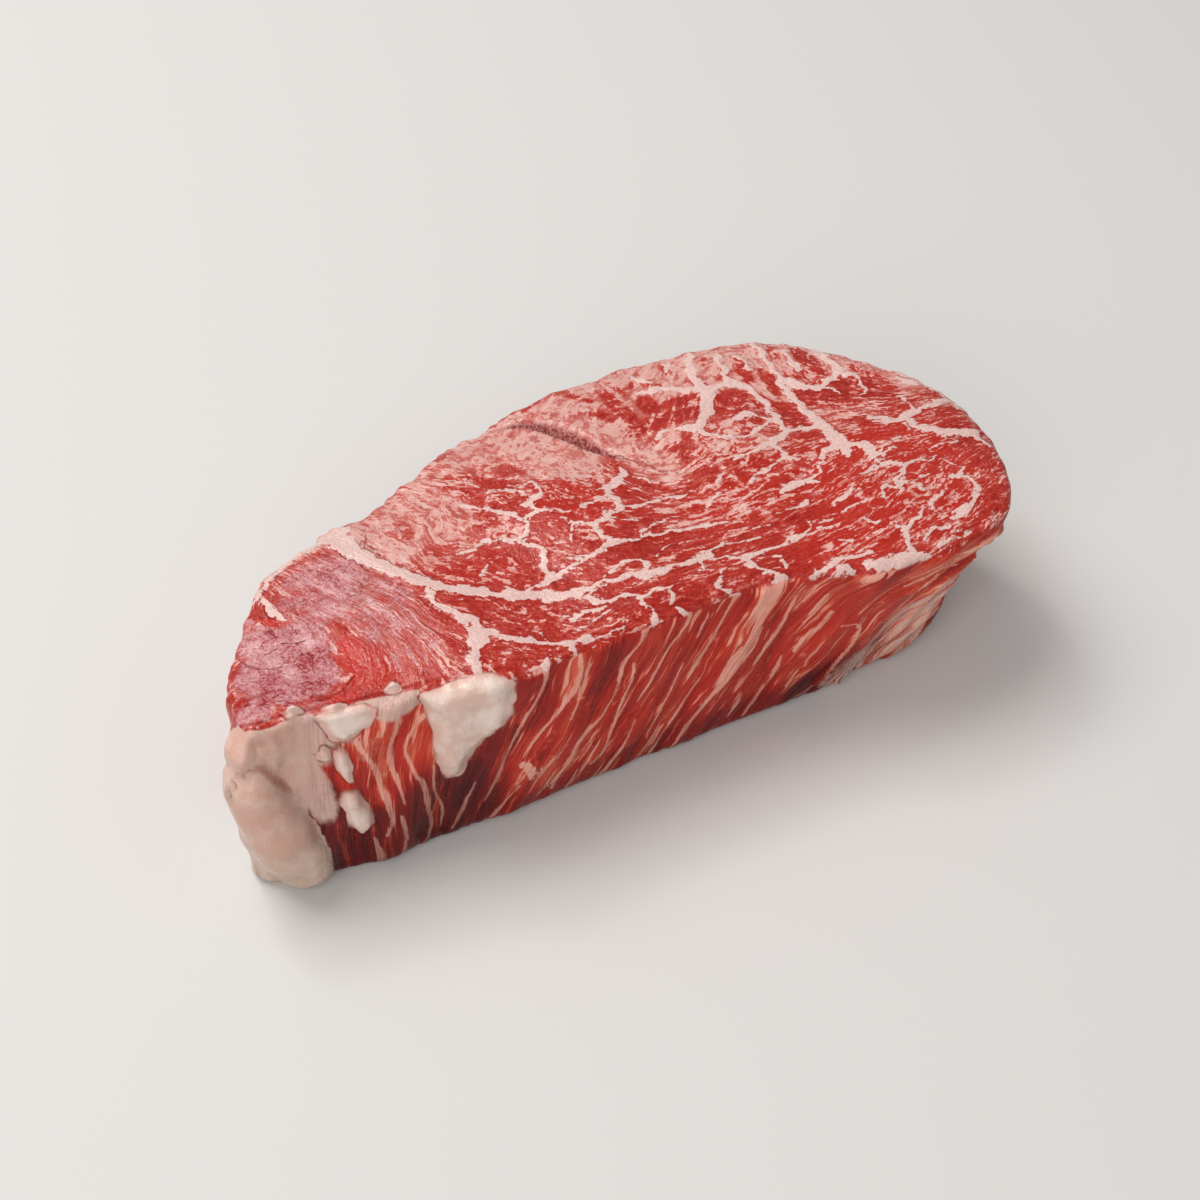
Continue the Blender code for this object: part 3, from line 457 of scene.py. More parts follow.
# darker meat on the wall, and painted shade in the groove beside the narrow end's chunk and along the
# wall's foot
WALL_DEEP_AND_SHADE = [(-40, 9, 9, 12, -12, 1.1), (-59, 8, 2.8, 13, 0, 1.3), (-50, 5, 10, 8, 0, 0.9),
             (34, 5, 12, 5, 10, 0.8), (0, 3, 34, 4, 0, 0.45), (-31, 18, 3, 7, -25, 0.7),
             (-24, 27, 4, 7, -15, 0.4), (-12, 28, 4, 5, -15, 0.4)]
WALL_BRIGHT = [(33, 21, 11, 7, 0, 0.9), (12, 20, 5, 12, -30, 0.55), (-17, 30, 2.4, 5, -15, 0.6),
               (24, 31, 5, 3, 0, 0.8), (22.4, 26, 1.0, 7, -28, 0.9), (-45, 23, 3, 4, 0, 0.7),
               (24, 16, 3, 5, -20, 0.6), (-20, 23, 2, 5, -35, 0.5)]
VEIL_TOP = 35.8       # where the thin skin that veils the wall ends, on over the edge
WALL_VEIL = [(-59.6, 29.6, 3.6, 5.6, 12, 1.0), (-61, 20, 2.6, 7, 8, 0.9), (-55, 33, 5, 2.4, 4, 0.5),
             (-46.6, 32.8, 6, 2.2, 0, 1.1), (-52, 26, 2.6, 3, 0, 0.3), (46, 9, 18, 5, 33, 0.95),
             (54, 7, 5, 5, 40, 0.8)]


def smooth_step(values):
    """Ease from 0 to 1."""
    t = np.clip(values, 0.0, 1.0)
    return t * t * (3.0 - 2.0 * t)


def ripples(u, v, pitch, seed, waves=9):
    """Random bumps of about unit height, as a sum of sine waves in seeded directions."""
    rng = np.random.default_rng(seed)
    total = np.zeros(np.shape(u))
    for _ in range(waves):
        angle, phase = rng.uniform(0.0, math.tau, 2)
        length = pitch * rng.uniform(0.7, 1.6)
        total += np.sin(math.tau * (u * math.cos(angle) + v * math.sin(angle)) / length + phase)
    return total / math.sqrt(waves / 2)


def spline(points, steps, closed):
    """Catmull-Rom curve through points, with the same number of steps in each span."""
    points = np.asarray(points, float)
    count = len(points)
    spans = count if closed else count - 1
    places = []
    for span in range(spans):
        picks = [span - 1, span, span + 1, span + 2]
        wrapped = [pick % count if closed else min(max(pick, 0), count - 1) for pick in picks]
        before, start, end, after = points[wrapped]
        for step in range(steps):
            t = step / steps
            places.append(0.5 * (2 * start + (end - before) * t
                                 + (2 * before - 5 * start + 4 * end - after) * t ** 2
                                 + (3 * start - before - 3 * end + after) * t ** 3))
    places.append(points[0] if closed else points[-1])
    return np.array(places)


def even_side(curve, cells):
    """Cells of equal length along a curve, without its last point."""
    lengths = np.hypot(*np.diff(curve[:, :2], axis=0).T)
    along = np.concatenate([[0.0], np.cumsum(lengths)])
    stops = np.linspace(0.0, along[-1], cells + 1)[:-1]
    return np.stack([np.interp(stops, along, column) for column in curve.T], axis=1)


def rim_loop():
    """The rim's columns, anticlockwise from the left front corner: x, y and foot offset."""
    sides = [FRONT, RIGHT, BACK, LEFT]
    counts = [LONG_CELLS, SHORT_CELLS, LONG_CELLS, SHORT_CELLS]
    curve = spline(sum(sides, []), CURVE_STEPS, closed=True)
    columns, start = [], 0
    for side, cells in zip(sides, counts):
        end = start + len(side) * CURVE_STEPS
        columns.append(even_side(curve[start:end + 1], cells))
        start = end
    return np.concatenate(columns)


def outward(loop):
    """Unit vectors that point out of a loop that runs anticlockwise."""
    tangent = np.roll(loop, -1, axis=0) - np.roll(loop, 1, axis=0)
    normal = np.stack([tangent[:, 1], -tangent[:, 0]], axis=1)
    return normal / np.linalg.norm(normal, axis=1, keepdims=True)


def wall_rows(columns):
    """Rows of the wall, top to bottom, each as points and the directions that relief moves them."""
    rim, lean = columns[:, :2], columns[:, 2]
    out = outward(rim)
    quarter = np.linspace(0.0, math.pi / 2, EDGE_ROWS + 1)
    belly = BELLY + WAIST * np.minimum(lean + WAIST_FROM, 0.0)
    rows = []
    for angle in quarter:
        offset = np.full(len(rim), TOP_EDGE * (math.sin(angle) - 1.0))
        rows.append((offset, THICKNESS - TOP_EDGE * (1.0 - math.cos(angle)), angle, 1.0))
    for row in range(1, WALL_ROWS):
        share = row / WALL_ROWS
        offset = lean * share + belly * math.sin(math.pi * share)
        height = THICKNESS - TOP_EDGE - share * (THICKNESS - TOP_EDGE - FOOT_EDGE)
        rows.append((offset, height, math.pi / 2, 1.0))
    for angle in quarter:
        offset = lean - FOOT_EDGE * (1.0 - math.cos(angle))
        fade = 1.0 - angle / quarter[-1]
        rows.append((offset, FOOT_EDGE * (1.0 - math.sin(angle)), math.pi / 2, fade))
    points, pushes = [], []
    for offset, height, angle, fade in rows:
        place = rim + out * offset[:, None]
        points.append(np.column_stack([place, np.full(len(rim), height)]))
        level = np.full(len(rim), math.cos(angle) * fade)
        pushes.append(np.column_stack([out * math.sin(angle) * fade, level]))
    return np.array(points), np.array(pushes)


def patch(loop):
    """Coons patch inside a loop of columns, as a grid of points with its edges on the loop."""
    front = loop[:LONG_CELLS + 1]
    right = loop[LONG_CELLS:LONG_CELLS + SHORT_CELLS + 1]
    back = loop[LONG_CELLS + SHORT_CELLS:2 * LONG_CELLS + SHORT_CELLS + 1][::-1]
    left = np.concatenate([loop[2 * LONG_CELLS + SHORT_CELLS:], loop[:1]])[::-1]
    u = np.linspace(0.0, 1.0, LONG_CELLS + 1)[None, :, None]
    v = np.linspace(0.0, 1.0, SHORT_CELLS + 1)[:, None, None]
    ruled = (1 - v) * front[None] + v * back[None] + (1 - u) * left[:, None] + u * right[:, None]
    corners = ((1 - u) * (1 - v) * front[0] + u * (1 - v) * front[-1]
               + (1 - u) * v * back[0] + u * v * back[-1])
    return ruled - corners


def crown():
    """Height of the top cut over its edge, on the patch's grid."""
    u = np.linspace(0.0, math.pi, LONG_CELLS + 1)[None, :]
    v = np.linspace(0.0, math.pi, SHORT_CELLS + 1)[:, None]
    return CROWN * np.sqrt(np.sin(u) * np.sin(v))


def patch_indices(edge_start, inner_start):
    """Vertex numbers of a patch whose edge is the wall's row that starts at edge_start."""
    grid = np.zeros((SHORT_CELLS + 1, LONG_CELLS + 1), int)
    grid[0, :] = range(LONG_CELLS + 1)
    grid[:, -1] = LONG_CELLS + np.arange(SHORT_CELLS + 1)
    grid[-1, ::-1] = LONG_CELLS + SHORT_CELLS + np.arange(LONG_CELLS + 1)
    grid[1:, 0] = (2 * LONG_CELLS + SHORT_CELLS + np.arange(SHORT_CELLS))[::-1]
    grid[0, 0] = 0
    grid += edge_start
    inner = np.arange((SHORT_CELLS - 1) * (LONG_CELLS - 1)) + inner_start
    grid[1:-1, 1:-1] = inner.reshape(SHORT_CELLS - 1, LONG_CELLS - 1)
    return grid


def quads(grid):
    """Faces of a grid of vertex numbers."""
    return np.stack([grid[:-1, :-1], grid[:-1, 1:], grid[1:, 1:], grid[1:, :-1]], axis=-1).reshape(-1, 4)


class Slab:
    """The plain slab's mesh: base points, push directions, faces, UVs, and where each point is.

    kind is 0 on the top cut, 1 on the wall and 2 under the slab. along is the distance round the
    rim, as x along the front and measured on from there round the other sides. up is the height up
    the wall, and on over the edge as the distance in from the rim.
    """

    def __init__(self):
        columns = rim_loop()
        around = len(columns)
        wall, wall_push = wall_rows(columns)
        rows = len(wall)
        top = patch(wall[0])
        top[..., 2] += crown()
        under = patch(wall[-1])
        inner_top = top[1:-1, 1:-1].reshape(-1, 3)
        inner_under = under[1:-1, 1:-1].reshape(-1, 3)
        inner = len(inner_top)
        self.base = np.concatenate([wall.reshape(-1, 3), inner_top, inner_under])
        self.push = np.concatenate([wall_push.reshape(-1, 3), np.tile((0.0, 0.0, 1.0), (inner, 1)),
                                    np.zeros((inner, 3))])
        wall_grid = np.arange(rows * around).reshape(rows, around)
        ring = np.concatenate([wall_grid, wall_grid[:, :1]], axis=1)
        top_grid = patch_indices(0, rows * around)
        under_grid = patch_indices((rows - 1) * around, rows * around + inner)
        self.faces = np.concatenate([quads(ring)[:, [0, 3, 2, 1]], quads(top_grid),
                                     quads(under_grid)[:, ::-1]])
        lengths = np.hypot(*(np.roll(columns, -1, axis=0) - columns)[:, :2].T)
        reach = np.concatenate([[0.0], np.cumsum(lengths)[:-1]])
        self.perimeter = float(lengths.sum())
        self.rim, self.rim_reach = columns[:, :2], reach
        corner = reach[LONG_CELLS]
        rim_along = np.where(reach <= corner, columns[:, 0], columns[LONG_CELLS, 0] + reach - corner)
        self.front_end = columns[LONG_CELLS, 0]
        self.kind = np.concatenate([np.ones(rows * around), np.zeros(inner), np.full(inner, 2.0)])
        turned = smooth_step((rim_along - BEND_FROM) / BEND_LENGTH)
        wall_along = rim_along + (wall[..., 0] - columns[:, 0]) * (1.0 - turned)
        wall_up = wall[..., 2].copy()
        edge = np.arange(EDGE_ROWS + 1)
        wall_up[edge] += TOP_EDGE * (1.0 - np.sin(edge / EDGE_ROWS * math.pi / 2))[:, None]
        nearest, distance = self.nearest_column(inner_top[:, :2])
        self.along = np.concatenate([wall_along.ravel(), rim_along[nearest], np.zeros(inner)])
        self.up = np.concatenate([wall_up.ravel(), THICKNESS + distance, np.zeros(inner)])
        front = reach[nearest] <= corner
        self.along[rows * around:rows * around + inner][front] = inner_top[front, 0]
        self.uvs = self.bake_uvs(rows, around)

    def nearest_column(self, points):
        """Nearest column of the rim to each 2-D point, and its distance."""
        nearest = np.zeros(len(points), int)
        distance = np.full(len(points), FAR)
        for number, place in enumerate(self.rim):
            away = np.hypot(*(points - place).T)
            closer = away < distance
            distance[closer], nearest[closer] = away[closer], number
        return nearest, distance

    def bake_uvs(self, rows, around):
        """UVs for baking the skin's look. The top cut and the front wall get most of the picture."""
        # left, right, low and high edge of each side's strip of the wall
        strips = {0: (0.0, 1.0, 0.302, 0.542), 1: (0.64, 1.0, 0.152, 0.292),
                  2: (0.0, 0.62, 0.152, 0.292), 3: (0.64, 1.0, 0.004, 0.142)}
        starts = np.cumsum([0, LONG_CELLS, SHORT_CELLS, LONG_CELLS, SHORT_CELLS])
        faces = np.zeros((rows - 1, around, 4, 2))
        down = np.linspace(0.0, 1.0, rows)
        for side, (left, right, low, high) in strips.items():
            cells = starts[side + 1] - starts[side]
            u = left + (right - left) * np.linspace(0.0, 1.0, cells + 1)
            v = high - (high - low) * down
            grid = np.stack(np.broadcast_arrays(u[None, :], v[:, None]), axis=-1)
            corners = np.stack([grid[:-1, :-1], grid[1:, :-1], grid[1:, 1:], grid[:-1, 1:]], axis=2)
            faces[:, starts[side]:starts[side + 1]] = corners
        flats = []
        for left, right, low, high in ((0.0, 1.0, 0.552, 1.0), (0.0, 0.62, 0.004, 0.142)):
            u = left + (right - left) * np.linspace(0.0, 1.0, LONG_CELLS + 1)
            v = low + (high - low) * np.linspace(0.0, 1.0, SHORT_CELLS + 1)
            grid = np.stack(np.broadcast_arrays(u[None, :], v[:, None]), axis=-1)
            corners = [grid[:-1, :-1], grid[:-1, 1:], grid[1:, 1:], grid[1:, :-1]]
            flats.append(np.stack(corners, axis=2).reshape(-1, 4, 2))
        return np.concatenate([faces.reshape(-1, 4, 2), flats[0], flats[1][:, ::-1]])


def lump_reach(points, centre, halves, lean):
    """Size of each point in a lump's own measure, where 1 is the lump's skin."""
    power = 2.0 / LUMP_SQUARE
    offset = points - centre
    upright = np.stack([offset[..., 0] + lean * offset[..., 2], offset[..., 1], offset[..., 2]], axis=-1)
    scaled = np.abs(upright / halves)
    return np.sum(scaled ** power, axis=-1) ** (1.0 / power)


def lump_height(points, pushes, centre, halves, lean):
    """How far each point has to move along its push to stand on the lump's skin."""
    steps = np.linspace(0.0, LUMP_SEARCH * max(halves), LUMP_STEPS)
    near = np.linalg.norm((points - centre) / (halves + 1.0), axis=1) < LUMP_NEAR
    near &= np.linalg.norm(pushes, axis=1) > 0.05
    height = np.zeros(len(points))
    start, way = points[near], pushes[near] / np.linalg.norm(pushes[near], axis=1, keepdims=True)
    sizes = lump_reach(start[:, None] + way[:, None] * steps[None, :, None], centre, halves, lean)
    inside = sizes < 1.0
    last = inside.shape[1] - 1 - np.argmax(inside[:, ::-1], axis=1)
    rows = np.arange(len(start))
    after = np.minimum(last + 1, len(steps) - 1)
    rise = np.maximum(sizes[rows, after] - sizes[rows, last], 1e-6)
    share = np.clip((1.0 - sizes[rows, last]) / rise, 0.0, 1.0)
    found = steps[last] + share * (steps[after] - steps[last])
    height[near] = np.where(inside.any(axis=1), found, 0.0)
    return height


def from_segment(points, start, end):
    """For each 2-D point, the nearest place on a segment as a share of it, and the vector from there."""
    span, offset = end - start, points - start
    share = np.clip(offset @ span / max(span @ span, 1e-9), 0.0, 1.0)
    return share, offset - share[:, None] * span


def outline_depth(points, outline):
    """How far inside a rounded outline each 2-D point is, negative outside and near it."""
    loop = spline(outline, 5, closed=True)
    low, high = loop.min(axis=0) - OUTLINE_MARGIN, loop.max(axis=0) + OUTLINE_MARGIN
    depth = np.full(len(points), OUTSIDE)
    near = np.flatnonzero(np.all((points > low) & (points < high), axis=1))
    place = points[near]
    nearest = np.full(len(near), -OUTSIDE)
    crossings = np.zeros(len(near), int)
    for start, end in zip(loop[:-1], loop[1:]):
        _, away = from_segment(place, start, end)
        nearest = np.minimum(nearest, np.hypot(*away.T))
        straddles = (start[1] > place[:, 1]) != (end[1] > place[:, 1])
        run, rise = end - start
        level = start[0] + (place[:, 1] - start[1]) * run / (rise if rise else 1e-9)
        crossings += straddles & (place[:, 0] < level)
    depth[near] = np.where(crossings % 2 == 1, nearest, -nearest)
    return depth


def nearest_axis(points, strokes):
    """For each 2-D point, the vector from the nearest stroke's axis, the stroke's half width there,
    and the distance to its edge."""
    count = len(points)
    best = np.full(count, FAR)
    vector = np.full((count, 2), BEYOND)
    half = np.zeros(count)
    for stroke in strokes:
        line = spline(stroke, 3, closed=False)
        low, high = line[:, :2].min(axis=0) - STROKE_REACH, line[:, :2].max(axis=0) + STROKE_REACH
        near = np.flatnonzero(np.all((points > low) & (points < high), axis=1))
        for start, end in zip(line[:-1], line[1:]):
            low = np.minimum(start[:2], end[:2]) - STROKE_REACH
            high = np.maximum(start[:2], end[:2]) + STROKE_REACH
            picks = near[np.all((points[near] > low) & (points[near] < high), axis=1)]
            share, away = from_segment(points[picks], start[:2], end[:2])
            width = start[2] + share * (end[2] - start[2])
            edge = np.hypot(*away.T) - width
            closer = edge < best[picks]
            chosen = picks[closer]
            best[chosen] = edge[closer]
            vector[chosen] = away[closer]
            half[chosen] = width[closer]
    return vector, half, np.minimum(best, STROKE_REACH)


def patches(points, blobs):
    """Strength of a list of soft elliptical patches at 2-D points."""
    total = np.zeros(len(points))
    for x, y, half_x, half_y, turn, strength in blobs:
        offset = points - (x, y)
        cos, sin = math.cos(math.radians(turn)), math.sin(math.radians(turn))
        along = (offset[:, 0] * cos + offset[:, 1] * sin) / half_x
        across = (offset[:, 1] * cos - offset[:, 0] * sin) / half_y
        size = np.hypot(along, across)
        total = np.maximum(total, strength * (1.0 - smooth_step((size - 0.7) / 0.6)))
    return total


def fibre_coordinates(points, directions):
    """Distance along and across the fibres at 2-D points, solved so that they follow directions."""
    low, high = points.min(axis=0) - FLOW_STEP, points.max(axis=0) + FLOW_STEP
    xs = np.arange(low[0], high[0] + FLOW_STEP, FLOW_STEP)
    ys = np.arange(low[1], high[1] + FLOW_STEP, FLOW_STEP)
    grid_x, grid_y = np.meshgrid(xs, ys)
    pull_x, pull_y = np.zeros_like(grid_x), np.zeros_like(grid_x)
    for x, y, turn in directions:
        away = (grid_x - x) ** 2 + (grid_y - y) ** 2
        weight = np.exp(-away / FIBRE_REACH ** 2) + 1e-3 / (1.0 + away ** 2 / FIBRE_REACH ** 4)
        pull_x += weight * math.cos(math.radians(turn))
        pull_y += weight * math.sin(math.radians(turn))
    length = np.hypot(pull_x, pull_y)
    pull_x, pull_y = pull_x / length, pull_y / length
    rows, columns = grid_x.shape
    number = np.arange(rows * columns).reshape(rows, columns)
    corners = [number[:-1, :-1], number[:-1, 1:], number[1:, :-1], number[1:, 1:]]
    corners = [corner.ravel() for corner in corners]
    edges = [(number[:, :-1].ravel(), number[:, 1:].ravel(), 0),
             (number[:-1].ravel(), number[1:].ravel(), 1)]
    solved = []
    for along in (True, False):
        # the coordinate rises this way, and stays level along the other
        rise = np.stack([pull_x, pull_y] if along else [-pull_y, pull_x])
        level = np.stack([-rise[1], rise[0]])
        system = np.zeros((rows * columns, rows * columns))
        side = np.zeros(rows * columns)
        for first, second, axis in edges:
            pull = rise[axis].ravel()
            slope = FIBRE_LOOSE * FLOW_STEP * (pull[first] + pull[second]) / 2
            for one, other in ((first, second), (second, first)):
                np.add.at(system, (one, one), FIBRE_LOOSE)
                np.add.at(system, (one, other), -FIBRE_LOOSE)
            np.add.at(side, first, -slope)
            np.add.at(side, second, slope)
        middle = (level[:, :-1, :-1] + level[:, 1:, 1:]).reshape(2, -1) / 4
        weights = [-middle[0] - middle[1], middle[0] - middle[1],
                   middle[1] - middle[0], middle[0] + middle[1]]
        for first, first_weight in zip(corners, weights):
            for second, second_weight in zip(corners, weights):
                np.add.at(system, (first, second), first_weight * second_weight)
        system[0, 0] += 1.0
        solved.append(np.linalg.solve(system, side))
    solved = np.stack(solved, axis=1).reshape(rows, columns, 2)
    place_x = np.clip((points[:, 0] - xs[0]) / FLOW_STEP, 0, columns - 1.001)
    place_y = np.clip((points[:, 1] - ys[0]) / FLOW_STEP, 0, rows - 1.001)
    cell_x, cell_y = place_x.astype(int), place_y.astype(int)
    share_x, share_y = (place_x - cell_x)[:, None], (place_y - cell_y)[:, None]
    lower = solved[cell_y, cell_x] * (1 - share_x) + solved[cell_y, cell_x + 1] * share_x
    upper = solved[cell_y + 1, cell_x] * (1 - share_x) + solved[cell_y + 1, cell_x + 1] * share_x
    return lower * (1 - share_y) + upper * share_y


class Skin:
    """The steak's surface: displaced points, and what the material needs to know at each."""

    def __init__(self):
        slab = Slab()
        self.slab = slab
        self.x, self.y, self.z = slab.base.T
        self.plan = slab.base[:, :2]
        self.face = np.column_stack([slab.along, self.z])
        self.on_top = smooth_step((self.z - THICKNESS + TOP_EDGE) / TOP_EDGE)
        self.under = slab.kind == 2
        self.front = (slab.kind < 2) & (slab.along < slab.front_end + FRONT_REACH)
        self.fields = {"fibre": self.flow(self.plan, FIBRES), "stripe": self.flow(self.face, STRIPES)}
        self.add_seams()
        self.add_crevice()
        self.add_fat()
        self.add_patches()
        self.points = self.displaced()

    def flow(self, points, directions):
        """Fibre coordinates, with room for a third value."""
        return np.column_stack([fibre_coordinates(points, directions), np.zeros(len(points))])

    def shifts(self, pitch, seeds):
        """Random sideways shifts in x and in y, with swells about pitch apart."""
        return np.column_stack([ripples(self.x, self.y, pitch, seed=seed) for seed in seeds])

    def add_seams(self):
        """Vectors from the nearest white seam, on the top cut and on the wall, and from the nearest
        crack. The seams are in two sets, so that the vectors of neighbours don't mix."""
        slab = self.slab
        wander = self.shifts(14.0, (51, 52))
        wiggle = self.shifts(3.0, (53, 54))
        plan = self.plan + np.where(self.under, UNDER_WANDER, 0.0)[:, None] * wander + SEAM_WIGGLE * wiggle
        around = (slab.kind == 1) & (slab.along > slab.front_end + BACK_FROM)
        slide = slab.along[around] - slab.front_end + slab.rim_reach[LONG_CELLS]
        slide += (BACK_SEAM_LEAN * (THICKNESS - self.z[around])
                  + BACK_SEAM_WANDER * ripples(slide, self.z[around], 9.0, seed=5))
        rim = np.column_stack([np.interp(slide, slab.rim_reach, slab.rim[:, axis], period=slab.perimeter)
                               for axis in (0, 1)])
        top_edges, wall_edges = [], []
        for part in (0, 1):
            vector, half, edge = nearest_axis(plan, TOP_SEAMS[part::2])
            self.fields[f"top_seam_{part}"] = np.column_stack([vector, half])
            top_edges.append(edge)
            vector, half, edge = nearest_axis(self.face, WALL_SEAMS[part::2])
            found = nearest_axis(rim * RIM_INSET, TOP_SEAMS[part::2])
            vector[around], half[around], edge[around] = found
            self.fields[f"wall_seam_{part}"] = np.column_stack([vector, half])
            wall_edges.append(edge)
        vector, half, crack_edge = nearest_axis(plan, TOP_CRACKS)
        self.fields["crack"] = np.column_stack([vector, half])
        self.fields["top_edges"] = np.column_stack([*top_edges, crack_edge])
        self.fields["wall_edges"] = np.column_stack([*wall_edges, crack_edge])
        self.top_edge, self.wall_edge = np.minimum(*top_edges), np.minimum(*wall_edges)
        fold, fold_half, _ = nearest_axis(self.face, FOLDS)
        from_core = np.hypot(*fold.T) - FOLD_CORE * fold_half
        self.fold = (1.0 - smooth_step(from_core / (FOLD_SLOPE * fold_half + 0.1))) * self.front

    def add_crevice(self):
        """Depth of the crevice as a share, and the place across it: from -1 at the near lip, where the
        wall is steep, to 1 at the far lip."""
        line = spline([(*place, half) for place, half in zip(CREVICE, CREVICE_HALF)], 4, closed=False)
        vector, half, _ = nearest_axis(self.plan, [line])
        ahead = np.gradient(line[:, :2], axis=0)
        closest = np.argmin(np.hypot(self.x[:, None] - line[:, 0], self.y[:, None] - line[:, 1]), axis=1)
        far_side = np.column_stack([-ahead[closest, 1], ahead[closest, 0]])
        far_side /= np.linalg.norm(far_side, axis=1, keepdims=True)
        across = np.sum(vector * far_side, axis=1) / np.maximum(half, 0.25)
        across = np.where(np.hypot(*vector.T) < STROKE_REACH, across, BEYOND)
        steep = smooth_step((across + 1.05) / 0.55)
        gentle = 1.0 - smooth_step((across + 0.5) / 1.6)
        depth = np.where(across < -0.5, steep, gentle) * (np.abs(across) < 1.2)
        self.crevice = depth * np.clip(half / max(CREVICE_HALF), 0.0, 1.0) * self.on_top
        self.crevice_side = np.clip(across, -3.0, 3.0)

    def add_fat(self):
        """How far each point stands out in a lump or pad of fat, and how far inside the fat it is."""
        base, push = self.slab.base, self.slab.push
        total = np.zeros(len(base))
        inside = np.full(len(base), OUTSIDE)
        raised = np.maximum(base, (-FAR, -FAR, FAT_FOOT))
        for centre, halves, lean in LUMPS:
            centre, halves = np.array(centre), np.array(halves)
            rise = lump_height(base, push, centre, halves, lean)
            rise *= 1.0 - smooth_step((self.slab.up - LUMP_TOP) / LUMP_FADE)
            total += rise ** LUMP_MELT
            depth = (1.0 - lump_reach(raised, centre, halves, lean)) * min(halves)
            depth = np.where(rise > 0.05, np.maximum(depth, 0.3), np.minimum(depth, -0.1))
            inside = np.maximum(inside, depth)
        for centre, halves in FAT_COVER:
            depth = (1.0 - lump_reach(raised, np.array(centre), np.array(halves), 0.0)) * min(halves)
            inside = np.maximum(inside, depth)
        along, up = self.slab.along, self.slab.up
        fat_top = FAT_TOP - FAT_SLOPE * smooth_step((self.y - SLOPE_FROM) / SLOPE_RUN)
        inside = np.minimum(inside, fat_top - up + 0.25 * ripples(along, along, 7.0, seed=33))
        self.add_creases(total ** (1.0 / LUMP_MELT))
        self.chunk = smooth_step(inside / 0.6 + 1.0) * (self.x < CHUNK_END)
        veil = patches(self.face, WALL_VEIL) * self.front * smooth_step((VEIL_TOP - up) / 1.2)
        # the veil counts double in the chunk and beside it, which gives the chunk a soft edge there
        veil *= 1.0 + smooth_step(inside / 1.2 + 1.0)
        ragged = np.interp(along, (-20.0, 20.0), PAD_RAGGED)
        place = np.column_stack([along + ragged * ripples(along, up, PAD_PITCH, seed=31),
                                 up + ragged * ripples(along, up, PAD_PITCH, seed=32)])
        for outline, height, edge in PADS:
            depth = np.where(self.front, outline_depth(place, np.array(outline)), OUTSIDE)
            total += (height * smooth_step(0.06 + 0.94 * depth / edge) * (depth > 0.0)) ** LUMP_MELT
            inside = np.maximum(inside, depth)
            self.chunk *= depth < 0.0
        self.veil = np.where(inside > 0.0, 2.0 * self.chunk, veil)
        self.lumps = np.maximum(total ** (1.0 / LUMP_MELT) - self.lumps_back, 0.0)
        self.inside = inside

    def add_creases(self, lumps):
        """How deep the creases cut into the lumps of fat at each point."""
        place = self.slab.base + self.slab.push * lumps[:, None]
        behind = place[:, 1] - CREASE_PLANE
        seen = np.column_stack([place[:, 0] - SIGHT[0] * behind, place[:, 2] - SIGHT[1] * behind])
        vector, half, _ = nearest_axis(seen, FAT_CREASES)
        crease = 1.0 - smooth_step(np.hypot(*vector.T) / (CREASE_EASE * half + 0.1))
        bend = spline(FAT_CREASES[0], 4, closed=False)
        over = smooth_step((seen[:, 1] - np.interp(seen[:, 0], bend[:, 0], bend[:, 1])) / 1.6)
        over *= smooth_step((seen[:, 0] - FACET_FROM) / 1.8)
        # none where the fat is thin, behind the end's front or on the top cut
        share = smooth_step(lumps / 1.5) * smooth_step((-10.0 - place[:, 1]) / 5.0) * (1.0 - self.on_top)
        self.crease = share * crease * np.clip(half, 0.0, 1.0)
        self.lumps_back = share * (CREASE_DEPTH * self.crease + COLLAR_STEP * over)

    def add_patches(self):
        """Soft patches of colour, and which face of the slab each point is on."""
        side = np.where(self.under, 0.0, 1.0 - self.on_top)
        # the wall's deep patches carry painted shade as well as darker meat
        wall = [patches(self.face, blobs) * self.front for blobs in (WALL_PALE, WALL_DEEP_AND_SHADE, WALL_BRIGHT)]
        top_pale = np.maximum(patches(self.plan, TOP_PALE) - patches(self.plan, TOP_RED), -0.3)
        top = [top_pale, patches(self.plan, TOP_DEEP), patches(self.plan, TOP_BRIGHT)]
        self.fields["tone"] = np.column_stack([t * (1 - side) + w * side for t, w in zip(top, wall)])
        lobe = patches(self.plan, TOP_LOBE) - patches(self.plan, TOP_BARE)
        lobe *= np.where(self.under, 0.0, self.on_top)
        plain = (patches(self.plan, TOP_PLAIN) - patches(self.plan, TOP_DASHED)) * self.on_top
        self.fields["zone"] = np.column_stack([side, lobe, plain])
        self.fields["fat"] = np.column_stack([self.inside, self.crevice, self.crevice_side])
        # fold less crease: where the fat creases, this darkens the fat and the wall as painted shade;
        # height, the last value, also darkens the wall towards its foot as painted shade
        self.fields["more"] = np.column_stack([self.fold - self.crease, self.veil, self.z / THICKNESS])

